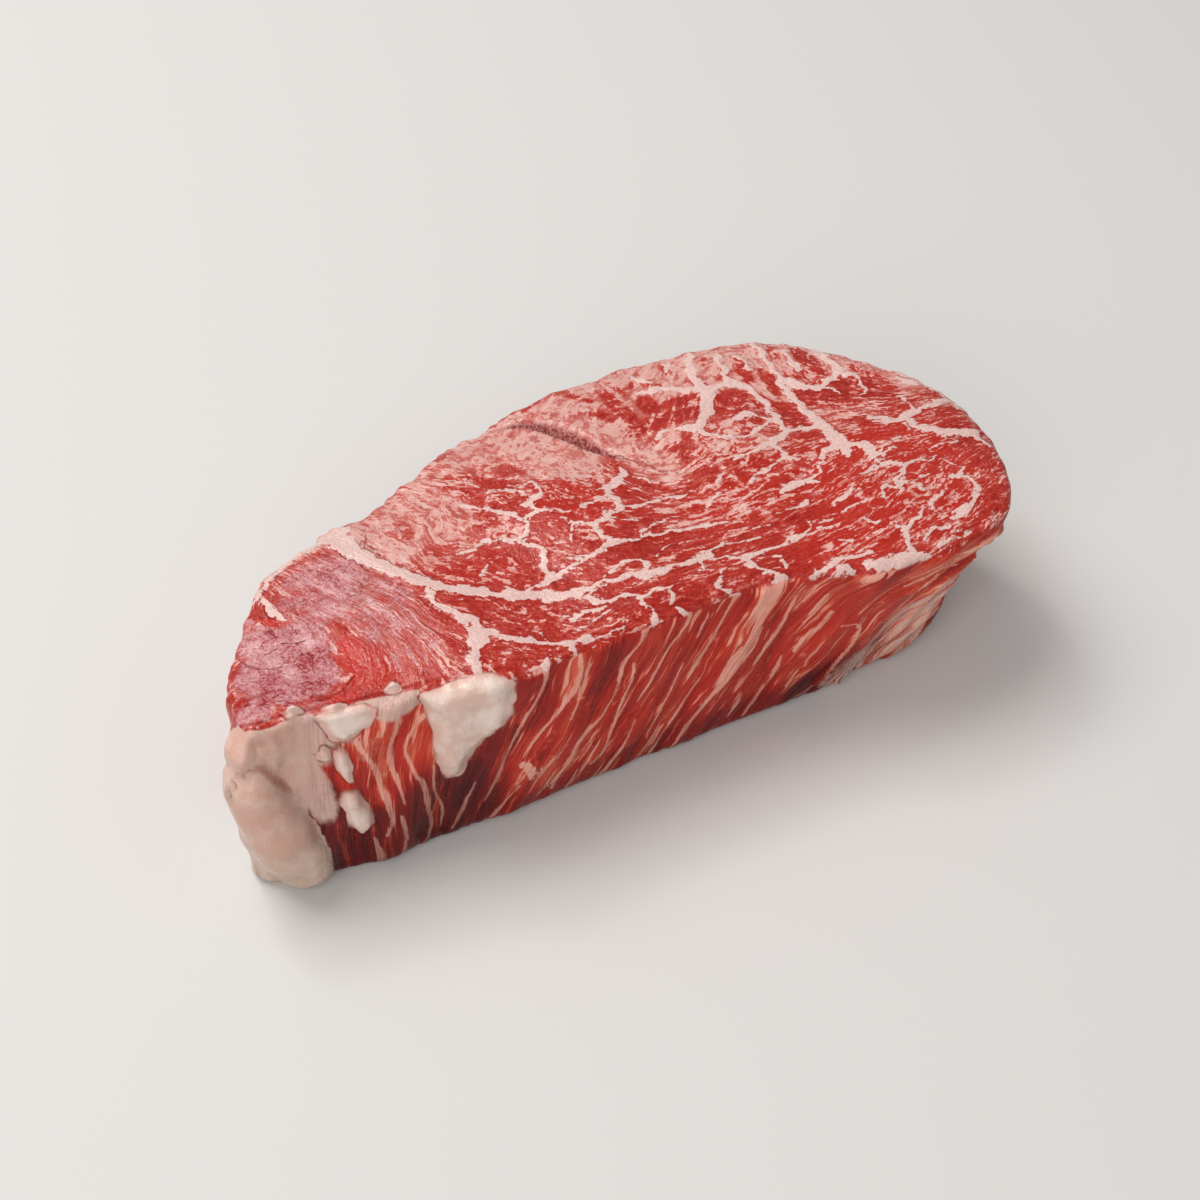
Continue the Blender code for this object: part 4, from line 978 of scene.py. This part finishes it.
    def displaced(self):
        """Points of the skin: the slab's swells and flutes, the fat, the crevice and fine relief."""
        x, y, z = self.x, self.y, self.z
        wall = 1.0 - self.on_top
        height = self.on_top * TOP_SWELL * ripples(x, y, TOP_SWELL_PITCH, seed=3)
        height += wall * FLUTE_HEIGHT * ripples(x - FLUTE_LEAN * z, y + 0.15 * z, FLUTE_PITCH, seed=8)
        fibre, stripe = self.fields["fibre"], self.fields["stripe"]
        ridges = ripples(fibre[:, 0] * TOP_STRETCH, fibre[:, 1], TOP_RIDGE_PITCH, seed=14)
        height += self.on_top * TOP_RIDGE * ridges
        ridges = ripples(stripe[:, 0] * WALL_STRETCH, stripe[:, 1], WALL_RIDGE_PITCH, seed=15)
        height += wall * WALL_RIDGE * ridges
        for edge, share in ((self.top_edge, self.on_top), (self.wall_edge, wall)):
            height += SEAM_HEIGHT * share * (1.0 - smooth_step((edge + 0.5) / 1.0))
        height += FOLD_HEIGHT * self.fold * wall
        low = smooth_step(1.0 - z / TAPER_HEIGHT)
        height -= FOOT_TAPER * low * smooth_step((TAPER_FROM - x) / TAPER_RUN) * wall
        band = np.exp(-((z - THICKNESS + 0.6) / RIM_BAND) ** 2) * (self.slab.kind == 1)
        height += band * RIM_RIDGE * ripples(self.slab.along, z, RIM_RIDGE_PITCH, seed=17)
        lumpy = FAT_BUMP * ripples(x + 0.4 * z, y + z, FAT_BUMP_PITCH, seed=21)
        lumpy += FAT_GRAIN * ripples(x - z, y + 0.6 * z, FAT_GRAIN_PITCH, seed=22)
        melt = smooth_step(self.lumps / FAT_MELT)
        height = height * (1.0 - FAT_SMOOTH * melt) + self.lumps + lumpy * melt
        height -= CREVICE_DEPTH * self.crevice
        points = self.slab.base + self.slab.push * height[:, None]
        points[:, 2] = np.maximum(points[:, 2], 0.0)
        return points

    def build(self, name):
        """Blender object of the skin, moved into the part's own frame."""
        low, high = (np.array(corner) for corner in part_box("steak"))
        points = self.points * MM
        self.shift = (low + high) / 2 - (points.min(axis=0) + points.max(axis=0)) / 2
        self.shift[2] = low[2]
        points = points + self.shift
        mesh = bpy.data.meshes.new(name)
        mesh.from_pydata(points.tolist(), [], self.slab.faces.tolist())
        for field, values in self.fields.items():
            attribute = mesh.attributes.new(field, "FLOAT_VECTOR", "POINT")
            attribute.data.foreach_set("vector", np.ascontiguousarray(values, np.float32).ravel())
        uvs = mesh.uv_layers.new(name="OFBake")
        uvs.data.foreach_set("uv", np.ascontiguousarray(self.slab.uvs, np.float32).ravel())
        mesh.shade_smooth()
        mesh.update()
        mesh.validate()
        item = bpy.data.objects.new(name, mesh)
        bpy.context.scene.collection.objects.link(item)
        return item


def tone(red, green, blue):
    """Linear colour from the 8-bit values that a screen shows."""
    channels = []
    for value in (red, green, blue):
        share = value / 255.0
        channels.append(share / 12.92 if share <= 0.04045 else ((share + 0.055) / 1.055) ** 2.4)
    return (*channels, 1.0)


class Web:
    """Short names for the nodes of one material. Each call adds a node and returns its output."""

    def __init__(self, name):
        self.material = bpy.data.materials.new(name)
        self.material.use_nodes = True
        self.tree = self.material.node_tree
        self.shader = self.tree.nodes["Principled BSDF"]

    def plug(self, socket, value):
        """Link or set a socket."""
        if isinstance(value, bpy.types.NodeSocket):
            self.tree.links.new(value, socket)
        else:
            socket.default_value = value

    def field(self, name):
        """One of the skin's fields, as a vector."""
        node = self.tree.nodes.new("ShaderNodeAttribute")
        node.attribute_name = name
        return node.outputs["Vector"]

    def place(self):
        """Place on the part, in millimetres."""
        node = self.tree.nodes.new("ShaderNodeTexCoord")
        return self.scaled(node.outputs["Object"], (1000.0, 1000.0, 1000.0))

    def maths(self, operation, first, second=0.0, third=0.0):
        """Math node."""
        node = self.tree.nodes.new("ShaderNodeMath")
        node.operation = operation
        for socket, value in zip(node.inputs, (first, second, third)):
            self.plug(socket, value)
        return node.outputs[0]

    def plus(self, first, second):
        """Sum of two values."""
        return self.maths("ADD", first, second)

    def minus(self, first, second):
        """First value less the second."""
        return self.maths("SUBTRACT", first, second)

    def times(self, first, second):
        """Product of two values."""
        return self.maths("MULTIPLY", first, second)

    def total(self, start, *parts):
        """A value plus parts, each given as a value, its middle, and what a step off it counts."""
        for part, middle, weight in parts:
            start = self.maths("MULTIPLY_ADD", self.minus(part, middle), weight, start)
        return start

    def vectors(self, operation, first, second=(0.0, 0.0, 0.0)):
        """Vector Math node. Its length is returned for LENGTH."""
        node = self.tree.nodes.new("ShaderNodeVectorMath")
        node.operation = operation
        self.plug(node.inputs[0], first)
        if operation == "SCALE":
            self.plug(node.inputs["Scale"], second)
        elif operation != "LENGTH":
            self.plug(node.inputs[1], second)
        return node.outputs["Value" if operation == "LENGTH" else "Vector"]

    def scaled(self, vector, factors):
        """Vector times one factor for each axis."""
        return self.vectors("MULTIPLY", vector, factors)

    def split(self, vector):
        """X, Y and Z of a vector."""
        node = self.tree.nodes.new("ShaderNodeSeparateXYZ")
        self.plug(node.inputs[0], vector)
        return node.outputs[0], node.outputs[1], node.outputs[2]

    def join(self, x=0.0, y=0.0, z=0.0):
        """Vector from three values."""
        node = self.tree.nodes.new("ShaderNodeCombineXYZ")
        for socket, value in zip(node.inputs, (x, y, z)):
            self.plug(socket, value)
        return node.outputs[0]

    def noise(self, vector, pitch, detail=2.0, rough=0.55, colour=False):
        """Noise about 0.5, with swells pitch apart. pitch may be a pair, for x and for y."""
        if isinstance(pitch, tuple):
            vector = self.scaled(vector, (1.0 / pitch[0], 1.0 / pitch[1], 1.0))
        node = self.tree.nodes.new("ShaderNodeTexNoise")
        self.plug(node.inputs["Vector"], vector)
        node.inputs["Scale"].default_value = 1.0 if isinstance(pitch, tuple) else 1.0 / pitch
        node.inputs["Detail"].default_value = detail
        node.inputs["Roughness"].default_value = rough
        return node.outputs["Color" if colour else "Fac"]

    def cells(self, vector, pitch):
        """Distance to the nearest cell wall, as a share of a cell."""
        node = self.tree.nodes.new("ShaderNodeTexVoronoi")
        node.voronoi_dimensions = "2D"
        node.feature = "DISTANCE_TO_EDGE"
        self.plug(node.inputs["Vector"], self.scaled(vector, (1.0 / pitch[0], 1.0 / pitch[1], 1.0)))
        node.inputs["Scale"].default_value = 1.0
        return node.outputs["Distance"]

    def lines(self, vector, pitch, width, detail):
        """Thin wandering lines, where a noise passes through its middle value."""
        away = self.maths("ABSOLUTE", self.minus(self.noise(vector, pitch, detail), 0.5))
        return self.ramp(away, width, width * 0.35)

    def ramp(self, value, low, high, start=0.0, end=1.0):
        """Smooth step of a value between low and high, which may run down."""
        node = self.tree.nodes.new("ShaderNodeMapRange")
        node.interpolation_type = "SMOOTHSTEP"
        self.plug(node.inputs["Value"], value)
        if isinstance(low, (int, float)) and isinstance(high, (int, float)) and low > high:
            low, high, start, end = high, low, end, start
        for name, bound in zip(("From Min", "From Max", "To Min", "To Max"), (low, high, start, end)):
            self.plug(node.inputs[name], bound)
        return node.outputs["Result"]

    def shades(self, value, stops):
        """Colour from a value, through stops of place and 8-bit colour."""
        node = self.tree.nodes.new("ShaderNodeValToRGB")
        ramp = node.color_ramp
        ramp.interpolation = "EASE"
        while len(ramp.elements) < len(stops):
            ramp.elements.new(1.0)
        for element, (place, colour) in zip(ramp.elements, stops):
            element.position = place
            element.color = tone(*colour)
        self.plug(node.inputs["Fac"], value)
        return node.outputs["Color"]

    def blend(self, share, first, second):
        """Mix of two colours."""
        node = self.tree.nodes.new("ShaderNodeMix")
        node.data_type = "RGBA"
        self.plug(node.inputs["Factor"], share)
        self.plug(node.inputs[6], first)
        self.plug(node.inputs[7], second)
        return node.outputs[2]

    def between(self, share, first, second):
        """Mix of two values."""
        node = self.tree.nodes.new("ShaderNodeMix")
        self.plug(node.inputs[0], share)
        self.plug(node.inputs[2], first)
        self.plug(node.inputs[3], second)
        return node.outputs[0]


def seam_share(web, sets, jitter, uneven, teeth, soft, ragged):
    """How much of a point lies in the nearest seam, and how near it is. Between the skin's points
    the distance comes from the vector to the seam's axis, as long as that agrees with the distances
    at the points. uneven multiplies the seam's half width, and teeth adds to it."""
    inner = 10.0
    for name, edge in sets:
        x, y, half = web.split(web.field(name))
        x, y, _ = web.split(web.vectors("ADD", web.join(x, y), web.vectors("SCALE", jitter, ragged)))
        away = web.vectors("LENGTH", web.join(x, y))
        away = web.minus(away, web.maths("MULTIPLY_ADD", half, uneven, teeth))
        away = web.maths("MAXIMUM", away, web.minus(edge, SEAM_TRUST))
        inner = web.maths("MINIMUM", away, inner)
    return web.ramp(inner, soft, -soft * 0.6), web.ramp(inner, 1.1, 0.0)


# Shades of the meat, as stops of place and 8-bit colour
TOP_SHADES = [(0.32, (116, 14, 8)), (0.40, (150, 30, 20)), (0.45, (167, 43, 32)), (0.50, (180, 66, 56)),
              (0.54, (190, 98, 88)), (0.58, (206, 140, 131)), (0.64, (217, 169, 161)),
              (0.76, (223, 188, 181))]
WALL_SHADES = [(0.30, (84, 10, 8)), (0.40, (134, 18, 12)), (0.47, (168, 31, 19)), (0.53, (188, 54, 35)),
               (0.58, (206, 90, 66)), (0.63, (226, 136, 114)), (0.76, (234, 170, 150))]
LOBE_SHADES = [(0.26, (120, 20, 26)), (0.38, (156, 62, 66)), (0.50, (178, 110, 114)),
               (0.62, (195, 140, 142)), (0.76, (210, 164, 164))]
# where plain meat lies in those shades
TOP_LEVEL = 0.455
WALL_LEVEL = 0.487
LOBE_LEVEL = 0.53
WETNESS = (0.18, 0.40)    # lowest and highest roughness
SPECULAR = 0.28


def top_colour(web, place, coordinates, patchy, seam, near_seam, crack):
    """Colour of the top cut, and its grain. One value says how fatty the meat is: noise drawn out
    along the fibres, with sharp short dashes, raised in the pale patches."""
    pale, deep, bright = web.split(web.field("tone"))
    _, lobe, plain = web.split(web.field("zone"))
    grain = web.noise(coordinates, (1.2, 0.38), 2.0, 0.6)
    specks = web.noise(place, 0.5, 1.0)
    flecks = web.noise(coordinates, (3.0, 0.8), 2.0, 0.6)
    bundles = web.noise(coordinates, (9.0, 3.4))
    open_meat = web.ramp(plain, -1.0, 1.0, 0.09, 0.0)
    fatty = web.maths("MULTIPLY_ADD", web.maths("MINIMUM", lobe, 0.0), 0.4, open_meat)
    fatty = web.total(fatty, (flecks, -0.5, 1.15), (grain, 0.5, 0.5), (bundles, 0.5, 0.45),
                      (pale, 0.0, 0.16), (specks, 0.5, 0.22), (deep, 0.0, -0.03), (near_seam, 0.0, -0.06))
    marbling = web.between(web.ramp(pale, 0.2, 1.0, 0.0, 0.75), web.ramp(fatty, 1.25, 1.325),
                           web.ramp(fatty, 1.08, 1.38))
    threads = web.times(web.lines(coordinates, (5.0, 1.3), 0.022, 1.0),
                        web.ramp(web.noise(place, 4.0), 0.46, 0.6))
    cells = web.minus(web.cells(coordinates, (8.0, 3.8)), web.ramp(patchy, 0.3, 0.75, 0.0, 0.06))
    walls = web.times(web.ramp(cells, 0.045, -0.01), web.ramp(web.noise(place, 5.5), 0.6, 0.45))
    value = web.total(TOP_LEVEL, (grain, 0.5, 0.30), (bundles, 0.5, 0.16), (marbling, 0.0, 0.11),
                      (specks, 0.5, 0.16), (threads, 0.0, 0.08), (walls, 0.0, 0.08),
                      (near_seam, 0.0, -0.006), (pale, 0.0, 0.07), (deep, 0.0, -0.035))
    colour = web.shades(value, TOP_SHADES)
    red = web.times(bright, web.ramp(value, 0.56, 0.48))
    colour = web.blend(web.times(red, 0.65), colour, tone(186, 36, 22))
    colour = web.blend(web.ramp(pale, 0.1, 1.0, 0.0, 0.45), colour, tone(198, 136, 127))
    pores = web.ramp(web.noise(coordinates, (1.5, 0.42), 2.0, 0.6), 0.46, 0.36, 0.0, 0.75)
    colour = web.blend(web.times(pores, pale), colour, tone(166, 66, 58))

    # the lobe at the narrow end is smooth, with soft folds and small pits
    swells = web.noise(place, 4.5, 4.0, 0.62)
    pits = web.noise(place, 0.5, 2.0, 0.6)
    folds = web.lines(place, 5.0, 0.016, 3.0)
    arcs = web.noise(coordinates, (2.8, 0.62), 2.0, 0.6)
    mottle = web.total(LOBE_LEVEL, (swells, 0.5, 0.6), (pits, 0.5, 0.62), (folds, 0.0, -0.16),
                       (arcs, 0.5, 0.5))
    lobe_edge = web.total(lobe, (patchy, 0.5, 1.3), (flecks, 0.5, 1.3))
    lobe_share = web.times(web.ramp(lobe_edge, 0.15, 0.85), 0.92)
    colour = web.blend(lobe_share, colour, web.shades(mottle, LOBE_SHADES))

    thin = web.ramp(near_seam, 0.6, 1.0)
    fat = web.blend(thin, tone(208, 158, 150), tone(220, 187, 180))
    fat = web.vectors("SCALE", fat, web.ramp(specks, 0.3, 0.7, 0.88, 1.06))
    colour = web.blend(web.times(seam, 0.94), colour, fat)
    return web.blend(web.times(crack, 0.55), colour, tone(150, 34, 40)), grain


def wall_colour(web, place, coordinates, patchy, seam, near_seam):
    """Colour of the wall, where the muscle's fibres run down the side, with painted shade towards its foot
    and in its deep patches, and its streaks.
    """
    pale, deep, bright = web.split(web.field("tone"))
    fold, _, height = web.split(web.field("more"))
    streaks = web.noise(coordinates, (8.0, 0.40), 2.0, 0.6)
    strands = web.noise(coordinates, (18.0, 1.3), 2.0, 0.5)
    bands = web.noise(coordinates, (30.0, 4.2), 2.0, 0.5)
    threads = web.times(web.lines(coordinates, (30.0, 2.0), 0.02, 1.0),
                        web.ramp(web.noise(place, 6.0, 1.0), 0.45, 0.6))
    ribbons = web.maths("MULTIPLY_ADD", pale, 0.08, web.total(strands, (streaks, 0.5, 0.4)))
    ribbons = web.ramp(ribbons, 0.60, 0.68)
    # on the wall, deep marks darker meat and also painted shade along the wall's foot and in the groove
    # beside the narrow end's chunk; fold lifts the value on the skin's folds and lowers it in the fat's
    # creases as painted shade
    value = web.total(WALL_LEVEL, (strands, 0.5, 0.22), (bands, 0.5, 0.26), (streaks, 0.5, 0.20),
                      (ribbons, 0.0, 0.11), (threads, 0.0, 0.08), (pale, 0.0, 0.09),
                      (deep, 0.0, -0.10), (near_seam, 0.0, 0.02), (fold, 0.0, 0.10))
    colour = web.shades(value, WALL_SHADES)
    red = web.times(bright, web.ramp(value, 0.58, 0.50))
    colour = web.blend(web.times(red, 0.65), colour, tone(192, 40, 22))
    worn = web.ramp(web.maths("MULTIPLY_ADD", patchy, 0.5, streaks), 0.45, 0.95, 0.55, 1.0)
    colour = web.blend(web.times(seam, worn), colour, tone(230, 162, 144))
    # painted shade: the wall's colour darker towards its foot, and darker still in its deep patches
    shade = web.times(web.ramp(height, 0.0, 0.45, 0.72, 1.0), web.ramp(deep, 0.0, 1.2, 1.0, 0.62))
    return web.vectors("SCALE", colour, shade), streaks


def with_crevice(web, place, colour):
    """Colour with the crevice, whose far wall shows its cut fibres, with a painted shadow along its near
    lip.
    """
    _, crevice, across = web.split(web.field("fat"))
    rungs = web.ramp(web.noise(place, 0.55), 0.35, 0.65)
    rungs = web.blend(rungs, tone(122, 42, 44), tone(192, 118, 112))
    far_wall = web.times(web.ramp(crevice, 0.05, 0.35), web.ramp(across, -1.0, -0.6))
    colour = web.blend(far_wall, colour, rungs)
    # painted shadow: a dark line along the crevice's near lip
    lip = web.times(web.ramp(crevice, 0.1, 0.35), web.ramp(across, 0.2, -0.35))
    return web.blend(web.times(lip, 0.85), colour, tone(84, 20, 24))


def with_fat(web, place, wall_flow, patchy, colour):
    """Colour with the lumps and pads of fat, with a painted contact shadow round their edges and painted
    shade in their creases, the thin skin beside them, and how much of a point is such fat, and its clots."""
    side = web.split(web.field("zone"))[0]
    inside = web.split(web.field("fat"))[0]
    fold, veil, height = web.split(web.field("more"))
    fat_edge = web.plus(inside, web.times(web.minus(patchy, 0.5), 0.7))
    blur = web.ramp(web.noise(place, 4.0, 1.0), 0.4, 0.65, 0.1, 0.5)
    blur = web.plus(blur, web.ramp(veil, 1.0, 1.6))
    fat = web.ramp(fat_edge, web.times(blur, -1.0), blur)

    silk = web.noise(wall_flow, (22.0, 0.55), 2.0, 0.6)
    far = web.ramp(web.split(place)[0], -10.0, 10.0)
    silk = web.ramp(silk, 0.42, 0.58, web.between(far, 0.84, 0.12), web.between(far, 0.93, 0.9))
    thin_skin = web.ramp(web.total(veil, (patchy, 0.5, 1.2)), 0.2, 0.95)
    colour = web.blend(web.times(thin_skin, silk), colour, tone(206, 174, 162))

    # painted contact shadow: a dark line just outside the fat's edge, stronger on the wall and weaker
    # under the veil
    rim = web.times(web.ramp(fat_edge, -0.5, -0.1), web.ramp(patchy, 0.35, 0.6, 0.3, 1.0))
    rim = web.times(rim, web.ramp(side, 0.0, 0.6, 0.5, 1.0))
    rim = web.times(rim, web.ramp(veil, 1.4, 1.0))
    colour = web.blend(web.times(rim, 0.7), colour, tone(96, 26, 22))

    clots = web.noise(place, 5.0, 4.0, 0.6)
    pad = web.blend(web.ramp(clots, 0.35, 0.65), tone(212, 180, 166), tone(230, 210, 199))
    pad = web.blend(web.ramp(fat_edge, 1.5, 0.0, 0.0, 0.7), pad, tone(208, 158, 144))
    chunk = web.blend(web.ramp(height, 0.1, 0.6), tone(186, 161, 142), tone(199, 156, 140))
    chunk = web.blend(web.ramp(clots, 0.35, 0.7, 0.0, 0.75), chunk, tone(210, 184, 170))
    # painted shade: the fat darker down in its creases
    chunk = web.blend(web.ramp(fold, -0.35, -0.9, 0.0, 0.8), chunk, tone(170, 112, 96))
    fat_colour = web.blend(web.ramp(veil, 0.8, 1.6), pad, chunk)
    return web.blend(fat, colour, fat_colour), fat, clots


def meat_material():
    """Moist raw beef: fibres, marbling, seams, the wall's stripes, and lumps of fat."""
    web = Web("meat")
    place = web.place()
    side = web.split(web.field("zone"))[0]
    inside = web.split(web.field("fat"))[0]
    top_0, top_1, crack_edge = web.split(web.field("top_edges"))
    wall_0, wall_1, _ = web.split(web.field("wall_edges"))
    patchy = web.noise(place, 2.4, 3.0, 0.6)
    drift, jitter = (web.vectors("SUBTRACT", web.noise(place, pitch, detail, colour=True), (0.5, 0.5, 0.5))
                     for pitch, detail in ((7.0, 2.0), (1.4, 3.0)))
    bend = web.vectors("ADD", web.vectors("SCALE", drift, 2.4), web.vectors("SCALE", jitter, 0.5))
    top_flow = web.vectors("ADD", web.field("fibre"), bend)
    wall_flow = web.vectors("ADD", web.field("stripe"), web.vectors("SCALE", drift, 1.6))

    feather = web.noise(top_flow, (2.2, 0.5))
    crumbs = web.minus(web.noise(place, 0.7), 0.5)
    teeth = web.maths("MULTIPLY_ADD", crumbs, 0.8, web.total(0.04, (feather, 0.5, 1.5)))
    uneven = web.ramp(patchy, 0.3, 0.7, 0.7, 1.15)
    top_sets = (("top_seam_0", top_0), ("top_seam_1", top_1))
    top_seam, near_top = seam_share(web, top_sets, jitter, uneven, teeth, 0.12, 1.1)
    uneven = web.ramp(web.noise(wall_flow, (9.0, 0.8)), 0.3, 0.7, 0.3, 1.1)
    wall_sets = (("wall_seam_0", wall_0), ("wall_seam_1", wall_1))
    wall_seam, near_wall = seam_share(web, wall_sets, jitter, uneven, 0.0, 0.2, 0.5)
    crack, _ = seam_share(web, (("crack", crack_edge),), jitter, 0.5, -0.02, 0.16, 1.4)
    crack = web.times(crack, web.ramp(inside, -0.2, -0.8))

    lean, grain = top_colour(web, place, top_flow, patchy, top_seam, near_top, crack)
    flesh, streaks = wall_colour(web, place, wall_flow, patchy, wall_seam, near_wall)
    turn = web.ramp(web.plus(side, web.minus(patchy, 0.5)), 0.3, 0.7)
    colour = with_crevice(web, place, web.blend(turn, lean, flesh))
    colour, fat, clots = with_fat(web, place, wall_flow, patchy, colour)
    web.plug(web.shader.inputs["Base Color"], colour)
    web.plug(web.shader.inputs["Roughness"], web.ramp(web.noise(place, 2.0, 3.0), 0.3, 0.7, *WETNESS))
    web.shader.inputs["Specular IOR Level"].default_value = SPECULAR

    white = web.maths("MAXIMUM", fat, web.between(side, top_seam, wall_seam))
    relief = web.between(turn, web.times(grain, 0.16), web.times(streaks, 0.34))
    relief = web.between(fat, relief, web.times(clots, 0.34))
    relief = web.plus(relief, web.times(white, 0.06))
    relief = web.minus(relief, web.times(crack, 0.25))
    relief = web.maths("MULTIPLY_ADD", crumbs, 0.10, relief)
    bump = web.tree.nodes.new("ShaderNodeBump")
    bump.inputs["Strength"].default_value = 1.0
    bump.inputs["Distance"].default_value = MM
    web.plug(bump.inputs["Height"], relief)
    web.plug(web.shader.inputs["Normal"], bump.outputs["Normal"])
    return web.material


# Camera: the photograph's viewing angle, in the slab's own frame
CAMERA_TURN = -27.0        # degrees about +Z, where 0 looks along +Y
CAMERA_ELEVATION = 46.0
CAMERA_DISTANCE = 352.0
CAMERA_AIM = (-0.215, -2.513, 17.0)
CAMERA_LENS = 60.0
CAMERA_SENSOR = 36.0


# Soft lights: name, azimuth, elevation, distance and size in metres, power, and colour
LIGHTS = [("key", -145.0, 60.0, 1.2, 0.7, 10.0, (1.0, 0.98, 0.95)),
          ("glint", -168.0, 54.0, 1.2, 0.16, 1.3, (1.0, 1.0, 1.0)),
          ("fill", -45.0, 38.0, 1.4, 1.0, 9.0, (1.0, 0.98, 0.96))]
FLOOR_SIZE = 4.0
FLOOR_COLOUR = (0.62, 0.61, 0.60, 1.0)
FLOOR_ROUGHNESS = 0.7
SURROUND_COLOUR = (1.0, 0.99, 0.98, 1.0)
SURROUND_STRENGTH = 0.35


def direction(azimuth, elevation):
    """Unit vector from the steak to a place. Azimuth 0 is in front, and 90 on the right."""
    turn, rise = math.radians(azimuth), math.radians(elevation)
    return Vector((math.sin(turn) * math.cos(rise), -math.cos(turn) * math.cos(rise), math.sin(rise)))


def stand(name, data, place, way):
    """Object at a place, which looks against the direction way."""
    item = bpy.data.objects.new(name, data)
    bpy.context.scene.collection.objects.link(item)
    item.location = place
    item.rotation_euler = (-way).to_track_quat("-Z", "Y").to_euler()
    return item


def add_camera(shift):
    """Camera at the photograph's viewing angle."""
    back = direction(CAMERA_TURN, CAMERA_ELEVATION)
    data = bpy.data.cameras.new("camera")
    data.lens = CAMERA_LENS
    data.sensor_width = CAMERA_SENSOR
    data.clip_start = 0.01
    place = Vector(CAMERA_AIM) * MM + Vector(shift) + back * CAMERA_DISTANCE * MM
    bpy.context.scene.camera = stand("camera", data, place, back)


def add_stage():
    """Plain pale floor, soft lights and a pale surround."""
    bpy.ops.mesh.primitive_plane_add(size=FLOOR_SIZE, location=(0.0, 0.0, 0.0))
    floor = bpy.context.object
    floor.name = "floor"
    web = Web("floor")
    web.shader.inputs["Base Color"].default_value = FLOOR_COLOUR
    web.shader.inputs["Roughness"].default_value = FLOOR_ROUGHNESS
    floor.data.materials.append(web.material)
    for name, azimuth, elevation, distance, size, power, colour in LIGHTS:
        data = bpy.data.lights.new(name, "AREA")
        data.shape = "SQUARE"
        data.size = size
        data.energy = power
        data.color = colour
        way = direction(azimuth, elevation)
        stand(name, data, way * distance, way)
    world = bpy.data.worlds.new("surround")
    world.use_nodes = True
    background = world.node_tree.nodes["Background"]
    background.inputs["Color"].default_value = SURROUND_COLOUR
    background.inputs["Strength"].default_value = SURROUND_STRENGTH
    bpy.context.scene.world = world
    bpy.context.scene.view_settings.view_transform = "Standard"


skin = Skin()
steak = skin.build("steak_skin")
steak.data.materials.append(meat_material())
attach(steak, "root")
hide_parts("steak")
add_camera(skin.shift)
add_stage()
